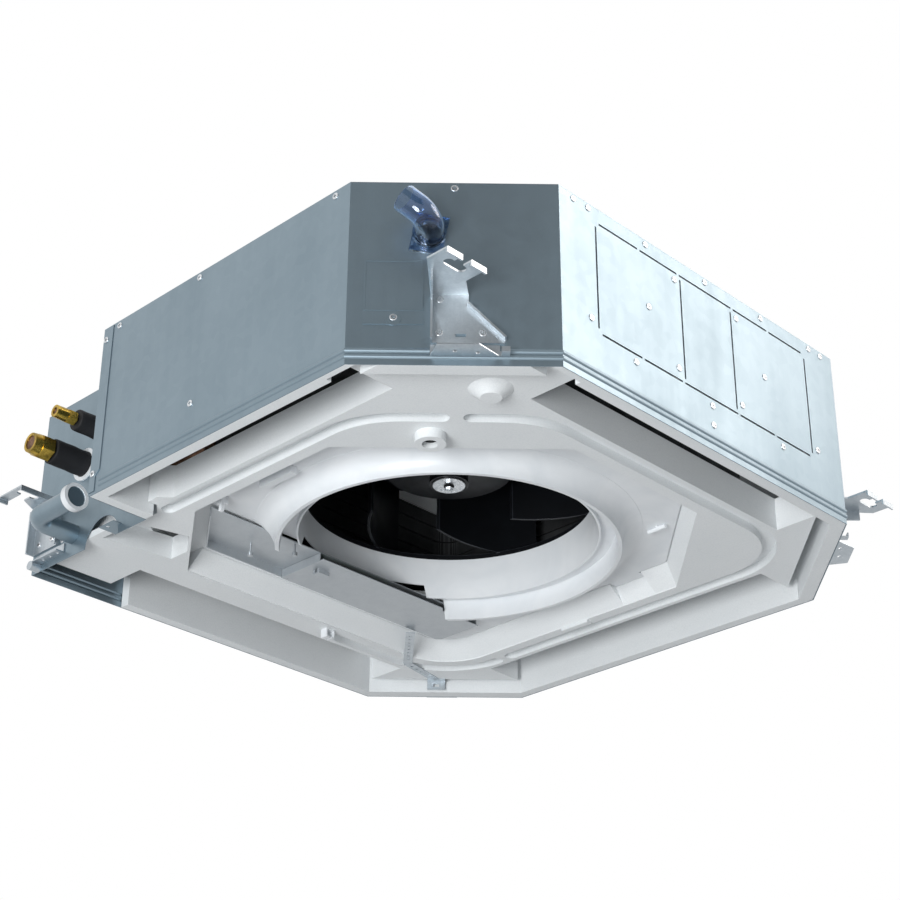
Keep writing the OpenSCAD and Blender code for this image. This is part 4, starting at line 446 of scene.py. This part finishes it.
def times(colour, factor):
    """A colour made darker or lighter."""
    return [factor * part for part in colour]


def make_finishes():
    """All the materials, by name."""
    own = bpy.context.scene.cassette_finish
    zinc = zinc_sheet_group()
    moulding = moulding_group()
    turned = turned_metal_group()
    rows = {
        "steel": dict(
            group=zinc, light=own.steel, dark=own.steel_dark, smooth=0.34, rough=0.46,
            metallic=0.85, bump=0.12),
        "bracket": dict(
            group=zinc, light=own.bracket, dark=own.bracket_dark, smooth=0.28, rough=0.45,
            metallic=0.9, bump=0.2, scales={"Crystal Scale": 400.0, "Streak Scale": 90.0}),
        "box_sheet": dict(
            group=zinc, light=own.box, dark=own.box_dark, smooth=0.3, rough=0.42,
            metallic=0.55, bump=0.06, scales={"Crystal Scale": 700.0, "Streak Scale": 60.0}),
        "screws": dict(
            group=turned, light=(0.78, 0.80, 0.82), dark=(0.50, 0.53, 0.56), smooth=0.2, rough=0.4,
            metallic=0.9, bump=0.1, scales={"Tarnish Scale": 300.0}),
        "foam": dict(
            group=bead_foam_group(), light=own.foam, dark=own.foam_dark, smooth=0.42, rough=0.6,
            metallic=0.0, bump=0.25, relief=0.3 * MM),
        "white_moulding": dict(
            group=moulding, light=own.white, dark=own.white_dark, smooth=0.3, rough=0.42,
            metallic=0.0, bump=0.15),
        "black_moulding": dict(
            group=moulding, light=own.black, dark=times(own.black, 0.5), smooth=0.32, rough=0.5,
            metallic=0.0, bump=0.2, sockets={"Specular IOR Level": 0.16}),
        # The fan's rounded blade edges: glossier than the black moulding, and six times lighter in
        # colour as a painted highlight along the edges
        "glossy_highlit_black": dict(
            group=moulding, light=times(own.black, 6), dark=times(own.black, 4), smooth=0.1,
            rough=0.2, metallic=0.0, bump=0.05, sockets={"Specular IOR Level": 0.8}),
        "rubber": dict(
            group=moulding, light=(0.020, 0.020, 0.022), dark=(0.010, 0.010, 0.011), smooth=0.6,
            rough=0.8, metallic=0.0, bump=0.4, scales={"Grain Scale": 900.0},
            sockets={"Specular IOR Level": 0.2}),
        "motor": dict(
            group=turned, light=(0.05, 0.052, 0.055), dark=(0.03, 0.032, 0.034), smooth=0.45,
            rough=0.6, metallic=0.3, bump=0.2),
        # Coil fins: the dark tone is painted shade in the gaps between the fins
        "fins": dict(
            group=fin_stack_group(), light=(0.09, 0.095, 0.10), dark=(0.02, 0.021, 0.022),
            smooth=0.45, rough=0.7, metallic=0.5, bump=0.5),
        "copper": dict(
            group=turned, light=own.copper, dark=times(own.copper, 0.45), smooth=0.25, rough=0.45,
            metallic=1.0, bump=0.15),
        "brass": dict(
            group=turned, light=own.brass, dark=times(own.brass, 0.4), smooth=0.22, rough=0.42,
            metallic=1.0, bump=0.15),
        "board": dict(
            group=moulding, light=(0.05, 0.22, 0.10), dark=(0.03, 0.13, 0.06), smooth=0.3,
            rough=0.45, metallic=0.0, bump=0.2),
        "clear_blue": dict(
            group=moulding, light=own.blue, dark=times(own.blue, 0.85), smooth=0.03, rough=0.08,
            metallic=0.0, bump=0.05, sockets={"Transmission Weight": 1.0, "IOR": 1.46}),
    }
    return {name: finish(name, **row) for name, row in rows.items()}


FINISHES = {}


class CASSETTE_OT_finishes(bpy.types.Operator):
    """Make the materials and give each part of the frame its own"""
    bl_idname = "cassette.finishes"
    bl_label = "Finishes"

    def execute(self, context):
        FINISHES.update(make_finishes())
        for name, node in NODES.items():
            node.data.materials.clear()
            node.data.materials.append(FINISHES[SLOTS[name]])
        return {"FINISHED"}


class CASSETTE_OT_stage(bpy.types.Operator):
    """Set up the floor, the even light, the lamps and the camera"""
    bl_idname = "cassette.stage"
    bl_label = "Stage"

    def execute(self, context):
        own = context.scene.cassette_stage
        context.scene.view_settings.view_transform = "Standard"
        self.floor(own)
        self.world(context.scene, own)
        self.lamp("lamp_right", own.key, own.key_place, own.key_aim, own.key_size, own.key_colour)
        self.lamp("lamp_front", own.front, own.front_place, own.front_aim, own.front_size,
                  own.front_colour)
        self.card(own)
        self.camera(context.scene, own)
        return {"FINISHED"}

    def floor(self, own):
        """A wide floor, which shows a pale tone of its own wherever it is seen."""
        bpy.ops.object.select_all(action="DESELECT")
        bpy.ops.mesh.primitive_plane_add(size=2 * own.floor_half, location=(0, 0, own.floor_z))
        floor = bpy.context.object
        floor.name = "floor"
        bpy.ops.object.transform_apply(location=True, rotation=True, scale=True)
        mat = self.mottled("pale_floor", own.floor_dark, own.floor_light, scale=0.8, detail=4.0)
        tree = mat.node_tree
        shader = tree.nodes["Principled BSDF"]
        shader.inputs["Roughness"].default_value = 0.8
        glow = add_node(tree, "ShaderNodeEmission", {
            "Color": (*own.floor_glow, 1), "Strength": 1.0})
        part = math_node(tree, "MULTIPLY", seen_directly(tree), own.floor_pale)
        mix = add_node(tree, "ShaderNodeMixShader", {
            0: part, 1: shader.outputs[0], 2: glow.outputs[0]})
        tree.links.new(mix.outputs[0], tree.nodes["Material Output"].inputs["Surface"])
        floor.data.materials.append(mat)

    def card(self, own):
        """A grey card out of sight, which the front corner's sheet mirrors."""
        bpy.ops.object.select_all(action="DESELECT")
        bpy.ops.mesh.primitive_plane_add(size=own.card_size, location=own.card_place)
        card = bpy.context.object
        card.name = "grey_card"
        card.rotation_euler = (-Vector(own.card_place)).to_track_quat("Z", "Y").to_euler()
        bpy.ops.object.transform_apply(location=True, rotation=True, scale=True)
        card.data.materials.append(
            self.mottled("grey_card", own.card_dark, own.card_light, scale=40.0, detail=2.0))
        card.visible_camera = False

    def mottled(self, name, dark, light, scale, detail):
        """A plain material that drifts between two tones."""
        mat, shader, coordinates = new_material(name)
        clouds = noise(mat.node_tree, coordinates, scale, detail)
        tone = mixed_colour(mat.node_tree, clouds, (*dark, 1), (*light, 1))
        mat.node_tree.links.new(tone, shader["Base Color"])
        return mat

    def world(self, scene, own):
        """Even light on the body, and plain white where the world itself is seen."""
        world = bpy.data.worlds.new("studio")
        scene.world = world
        world.use_nodes = True
        tree = world.node_tree
        tree.nodes.clear()
        even = add_node(tree, "ShaderNodeBackground", {
            "Color": (*own.ambient_colour, 1), "Strength": own.ambient})
        white = add_node(tree, "ShaderNodeBackground", {"Color": (1, 1, 1, 1), "Strength": 1.0})
        mix = add_node(tree, "ShaderNodeMixShader", {
            0: seen_directly(tree), 1: even.outputs[0], 2: white.outputs[0]})
        add_node(tree, "ShaderNodeOutputWorld", {"Surface": mix.outputs[0]})

    def lamp(self, name, power, place, target, size, colour):
        """A round lamp that faces a point of the body."""
        light = bpy.data.lights.new(name, "AREA")
        light.shape = "DISK"
        light.size = size
        light.energy = power
        light.color = colour
        lamp = bpy.data.objects.new(name, light)
        bpy.context.scene.collection.objects.link(lamp)
        lamp.location = place
        lamp.rotation_euler = (Vector(target) - Vector(place)).to_track_quat("-Z", "Y").to_euler()

    def camera(self, scene, own):
        """The camera below the front corner, looking up."""
        yaw, pitch, roll = own.camera_turn
        level_reach = math.cos(pitch)
        ahead = Vector((
            math.cos(yaw) * level_reach, math.sin(yaw) * level_reach, math.sin(pitch)))
        level = Vector((math.sin(yaw), -math.cos(yaw), 0))
        above = level.cross(ahead)
        right = level * math.cos(roll) + above * math.sin(roll)
        top = above * math.cos(roll) - level * math.sin(roll)
        data = bpy.data.cameras.new("camera")
        data.lens = own.lens
        data.sensor_width = 36
        data.clip_end = 60
        camera = bpy.data.objects.new("camera", data)
        scene.collection.objects.link(camera)
        turned = Matrix((right, top, -ahead)).transposed().to_4x4()
        camera.matrix_world = Matrix.Translation(Vector(own.camera_place)) @ turned
        scene.camera = camera


# Pieces of the frame and what stands for them


def activate(piece):
    """Selects one object alone and makes it the active one."""
    bpy.ops.object.select_all(action="DESELECT")
    piece.select_set(True)
    bpy.context.view_layer.objects.active = piece


def node_copy(name):
    """A free copy of one part of the frame, in place and active."""
    piece = NODES[name].copy()
    piece.data = piece.data.copy()
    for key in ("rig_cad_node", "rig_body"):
        if key in piece:
            del piece[key]
    piece.parent = None
    bpy.context.scene.collection.objects.link(piece)
    piece.matrix_world = Matrix.Identity(4)
    activate(piece)
    return piece


def apply_modifier(piece, kind, **settings):
    """Gives the active piece one modifier with these settings, and applies it."""
    modifier = piece.modifiers.new(kind.lower(), kind)
    for key, value in settings.items():
        setattr(modifier, key, value)
    bpy.ops.object.modifier_apply(modifier=modifier.name)


def frame_body(name):
    """The body that a part of the frame rides on."""
    for body, members in frame["record"]["behaviour"]["bodies"].items():
        if name in members:
            return body
    raise RuntimeError("no body holds " + name)


def box_of(name):
    """The lowest and the highest corner of a part of the frame."""
    low, high = (Vector(c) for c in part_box(name))
    return low, high


def softened(names, width, merge_flat=False, edge=None):
    """A copy of each named part with rounded edges, which then stands for it. The rounding is at
    most width wide, and the clamp can hold a whole part to far less. Edge names the finish of
    the rounding, where it differs."""
    made = []
    for name in names:
        piece = node_copy(name)
        piece.name = name + "_soft"
        bpy.ops.mesh.customdata_custom_splitnormals_clear()
        bpy.ops.object.mode_set(mode="EDIT")
        bpy.ops.mesh.select_all(action="SELECT")
        bpy.ops.mesh.remove_doubles(threshold=WELD)
        if merge_flat:
            bpy.ops.mesh.dissolve_limited(angle_limit=FLAT_TURN)
        bpy.ops.mesh.delete_loose()
        bpy.ops.object.mode_set(mode="OBJECT")
        if edge:
            piece.data.materials.append(FINISHES[edge])
        apply_modifier(
            piece, "BEVEL", width=width, segments=2, limit_method="ANGLE",
            angle_limit=ROUNDED_TURN, use_clamp_overlap=True, material=1 if edge else -1)
        bpy.ops.object.shade_smooth_by_angle(angle=SHARP_TURN)
        apply_modifier(piece, "WEIGHTED_NORMAL", keep_sharp=True)
        body = frame_body(name)
        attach(piece, body)
        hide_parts(name)
        made.append(piece)
    return made


def shown_for(piece, name, node):
    """Finishes a new piece that stands for a node of the frame."""
    piece.name = name
    piece.data.materials.clear()
    piece.data.materials.append(FINISHES[SLOTS[node]])
    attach(piece, frame_body(node))
    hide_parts(node)


class CASSETTE_OT_mouldings(bpy.types.Operator):
    """Round the edges of the foam and the mouldings"""
    bl_idname = "cassette.mouldings"
    bl_label = "Mouldings"

    def execute(self, context):
        own = context.scene.cassette_size
        softened(["drain_pan", "foam_lining"], own.edge, merge_flat=True)
        softened(["inlet_moulding", "hub_grommet", "drain_plug"], own.edge)
        # The fan's rounded edges take the lighter glossy black: a painted highlight along the
        # blades
        softened(["fan_wheel"], own.edge, edge="glossy_highlit_black")
        self.port(own)
        softened(["pipe_collars", "wire_clips", "terminal_block", "drain_pump", "pump_impeller",
                  "float", "air_sensor", "rubber_feet"], own.small_edge)
        return {"FINISHED"}

    def port(self, own):
        """The plated pipe stub, and its cap with a plated face inside a white rim."""
        pipe, cap = softened(["port_pipe", "port_cap"], own.small_edge)
        pipe.data.materials[0] = FINISHES["steel"]
        cap.data.materials.append(FINISHES["steel"])
        low, high = box_of("port_cap")
        middle = (low + high) / 2
        plated = PLATED_PART * (high.x - low.x)
        for face in cap.data.polygons:
            off = face.center - middle
            if face.normal.y < -FACING_WELL and math.hypot(off.x, off.z) < plated:
                face.material_index = 1


class CASSETTE_OT_metalwork(bpy.types.Operator):
    """Round the edges of the brackets, the control box and the fittings"""
    bl_idname = "cassette.metalwork"
    bl_label = "Metalwork"

    def execute(self, context):
        own = context.scene.cassette_size
        softened(["hanger_front", "hanger_right", "hanger_rear", "hanger_left", "lower_plates",
                  "rear_strap", "hub_washer", "fan_nut", "fan_shaft", "gas_nut", "liquid_nut",
                  "fan_motor"], own.small_edge)
        softened(["control_box", "box_cover", "service_cover", "piping_plate", "end_strip",
                  "motor_plate"], own.sheet_edge)
        softened(["side_left", "side_right", "side_rear_right", "side_rear_left", "corner_front",
                  "corner_right", "corner_rear"], own.rib_edge)
        return {"FINISHED"}


# New shapes


def loose_parts(name):
    """Copies of the separate solids of one node, as objects."""
    node_copy(name)
    bpy.ops.object.mode_set(mode="EDIT")
    bpy.ops.mesh.select_all(action="SELECT")
    bpy.ops.mesh.remove_doubles(threshold=WELD)
    bpy.ops.mesh.separate(type="LOOSE")
    bpy.ops.object.mode_set(mode="OBJECT")
    return list(bpy.context.selected_objects)


def selected_edit(piece, keep):
    """Opens a piece in edit mode with only the faces that keep(face) names selected."""
    activate(piece)
    bpy.ops.object.mode_set(mode="EDIT")
    bpy.ops.mesh.select_all(action="DESELECT")
    bpy.ops.mesh.select_mode(type="FACE")
    bpy.ops.object.mode_set(mode="OBJECT")
    for face in piece.data.polygons:
        face.select = keep(face)
    bpy.ops.object.mode_set(mode="EDIT")


def cut_across(piece, axis, places):
    """Cuts a ring of new edges round a piece at each place along an axis."""
    activate(piece)
    bpy.ops.object.mode_set(mode="EDIT")
    for place in places:
        bpy.ops.mesh.select_all(action="SELECT")
        bpy.ops.mesh.bisect(plane_co=[place * part for part in axis], plane_no=axis)
    bpy.ops.object.mode_set(mode="OBJECT")


def off_axis(offset, axis):
    """How far an offset reaches beside an axis."""
    return (offset - axis * offset.dot(axis)).length


def screw_head(radius, height, own):
    """A low domed head with a cross recess, its base at the origin and its top towards +Z."""
    bpy.ops.object.select_all(action="DESELECT")
    bpy.ops.mesh.primitive_cylinder_add(
        vertices=HEAD_SIDES, radius=radius, depth=height, location=(0, 0, height / 2))
    head = bpy.context.object
    selected_edit(head, lambda face: face.normal.z > FACING)
    bpy.ops.mesh.bevel(offset=HEAD_DOME * height, segments=HEAD_DOME_STEPS, affect="EDGES")
    bpy.ops.mesh.select_all(action="DESELECT")
    bpy.ops.object.mode_set(mode="OBJECT")
    for bar_size in ((own.cross_length, own.cross_width), (own.cross_width, own.cross_length)):
        bpy.ops.mesh.primitive_cube_add(
            size=1, location=(0, 0, height), scale=(*bar_size, 2 * own.cross_depth))
        bar = bpy.context.object
        bpy.ops.object.transform_apply(location=True, rotation=True, scale=True)
        activate(head)
        apply_modifier(head, "BOOLEAN", operation="DIFFERENCE", object=bar)
        bpy.data.objects.remove(bar)
    bpy.ops.object.shade_smooth_by_angle(angle=SHARP_TURN)
    return head


class CASSETTE_OT_screws(bpy.types.Operator):
    """Model one screw head with a cross recess and set a copy at each screw"""
    bl_idname = "cassette.screws"
    bl_label = "Screws"

    def execute(self, context):
        own = context.scene.cassette_size
        for node in ("casing_screws", "box_screws"):
            placed = []
            master = None
            for part in loose_parts(node):
                points = [v.co.copy() for v in part.data.vertices]
                bpy.data.objects.remove(part)
                low, high = (Vector([end(p[i] for p in points) for i in range(3)])
                             for end in (min, max))
                middle = (low + high) / 2
                axis, height = self.axis(points)
                if master is None:
                    radius = max(off_axis(p - middle, axis) for p in points)
                    master = screw_head(radius, height, own)
                turn = UP.rotation_difference(axis).to_matrix().to_4x4()
                copy = master.copy()
                copy.data = master.data.copy()
                context.scene.collection.objects.link(copy)
                copy.data.transform(Matrix.Translation(middle - axis * height / 2) @ turn)
                placed.append(copy)
            bpy.data.objects.remove(master)
            bpy.ops.object.select_all(action="DESELECT")
            for copy in placed:
                copy.select_set(True)
            context.view_layer.objects.active = placed[0]
            bpy.ops.object.join()
            shown_for(placed[0], node + "_heads", node)
        return {"FINISHED"}

    def axis(self, points):
        """The way a screw's head faces, and its height. It faces along its thinnest reach, away
        from its wider end, or down where that reach is upright."""
        angles = [math.radians(angle) for angle in HEAD_TURNS]
        axis, height = None, math.inf
        for way in [Vector((math.cos(a), math.sin(a), 0)) for a in angles] + [UP]:
            spans = [p.dot(way) for p in points]
            if max(spans) - min(spans) < height - SAME_REACH:
                axis, height = way, max(spans) - min(spans)
        if axis.z > FACING:
            return -axis, height
        spans = [p.dot(axis) for p in points]
        centre = sum(points, Vector()) / len(points)
        low_width, high_width = (
            max(off_axis(p - centre, axis) for p in points
                if abs(p.dot(axis) - end) < HEAD_END * height)
            for end in (min(spans), max(spans)))
        return (axis if high_width < low_width else -axis), height


class CASSETTE_OT_sleeves(bpy.types.Operator):
    """Model the foam sleeves on the two pipes and the ribs of the drain hose"""
    bl_idname = "cassette.sleeves"
    bl_label = "Sleeves and hose"

    def execute(self, context):
        own = context.scene.cassette_size
        for node in ("gas_sleeve", "liquid_sleeve"):
            self.sleeve(node, own)
        self.hose(own)
        return {"FINISHED"}

    def sleeve(self, node, own):
        """A foam tube with rounded ends and an uneven skin."""
        low, high = box_of(node)
        middle = (low + high) / 2
        radius = (high.y - low.y) / 2
        length = high.x - low.x
        bpy.ops.object.select_all(action="DESELECT")
        bpy.ops.mesh.primitive_cylinder_add(
            vertices=SLEEVE_SIDES, radius=radius, depth=length, location=middle,
            rotation=(0, math.radians(90), 0))
        sleeve = bpy.context.object
        bpy.ops.object.transform_apply(location=True, rotation=True, scale=True)
        selected_edit(sleeve, lambda face: abs(face.normal.x) > FACING)
        bpy.ops.mesh.inset(thickness=radius - self.bore(node, middle), use_even_offset=True)
        bpy.ops.mesh.bridge_edge_loops()
        bpy.ops.mesh.select_all(action="SELECT")
        bpy.ops.mesh.normals_make_consistent(inside=False)
        bpy.ops.object.mode_set(mode="OBJECT")
        apply_modifier(
            sleeve, "BEVEL", width=own.sleeve_rim, segments=SLEEVE_RIM_STEPS,
            limit_method="ANGLE", angle_limit=RIM_TURN)
        cuts = [low.x + length * k / SLEEVE_LENGTHS for k in range(1, SLEEVE_LENGTHS)]
        cut_across(sleeve, (1, 0, 0), cuts)
        for v in sleeve.data.vertices:
            out = Vector((0, v.co.y - middle.y, v.co.z - middle.z))
            if out.length > SLEEVE_SKIN * radius:
                angle = math.atan2(out.z, out.y)
                wave = sum(
                    math.sin(count * angle + drift * v.co.x) for count, drift in SLEEVE_WAVES)
                v.co -= out.normalized() * own.sleeve_wave * (1 + SLEEVE_SWING * wave)
        bpy.ops.object.shade_smooth_by_angle(angle=SOFT_SHARP_TURN)
        shown_for(sleeve, node + "_foam", node)

    def bore(self, node, middle):
        """The sleeve's inner radius, from the frame's own mesh."""
        return min(math.hypot(v.co.y - middle.y, v.co.z - middle.z)
                   for v in NODES[node].data.vertices)

    def hose(self, own):
        """The drain hose, ribbed where it rises beside the pump."""
        hose = softened(["drain_hose"], own.small_edge)[0]
        low, high = box_of("drain_hose")
        start = low.z + own.hose_foot
        step = own.hose_rib / 2
        count = int((high.z - own.hose_head - start) / step)
        heights = [start + k * step for k in range(count)]
        cut_across(hose, (0, 0, 1), heights)
        rings = [[v for v in hose.data.vertices if abs(v.co.z - z) < RING_REACH] for z in heights]
        for ring in rings[1::2]:
            middle = sum((v.co for v in ring), Vector()) / len(ring)
            for v in ring:
                v.co -= (v.co - middle).normalized() * own.hose_ripple
        bpy.ops.object.shade_smooth_by_angle(angle=SOFT_SHARP_TURN)


class CASSETTE_PT_panel(bpy.types.Panel):
    """Lists the steps that dress the body"""
    bl_idname = "CASSETTE_PT_panel"
    bl_label = "Cassette body"
    bl_space_type = "VIEW_3D"
    bl_region_type = "UI"
    bl_category = "Cassette"

    def draw(self, context):
        for operator in OPERATORS:
            self.layout.operator(operator.bl_idname)
        for group in GROUPS:
            own = getattr(context.scene, group)
            for key in own.__annotations__:
                self.layout.prop(own, key)


OPERATORS = (
    CASSETTE_OT_stage, CASSETTE_OT_finishes, CASSETTE_OT_mouldings, CASSETTE_OT_metalwork,
    CASSETTE_OT_screws, CASSETTE_OT_sleeves)
GROUPS = {
    "cassette_finish": CassetteFinish,
    "cassette_size": CassetteSize,
    "cassette_stage": CassetteStage,
}


def register():
    for cls in (*GROUPS.values(), *OPERATORS, CASSETTE_PT_panel):
        bpy.utils.register_class(cls)
    for name, cls in GROUPS.items():
        setattr(bpy.types.Scene, name, bpy.props.PointerProperty(type=cls))


def unregister():
    for name in GROUPS:
        delattr(bpy.types.Scene, name)
    for cls in reversed((*GROUPS.values(), *OPERATORS, CASSETTE_PT_panel)):
        bpy.utils.unregister_class(cls)


def main():
    register()
    bpy.ops.cassette.stage()
    bpy.ops.cassette.finishes()
    bpy.ops.cassette.mouldings()
    bpy.ops.cassette.metalwork()
    bpy.ops.cassette.screws()
    bpy.ops.cassette.sleeves()


if __name__ == "__main__":
    main()
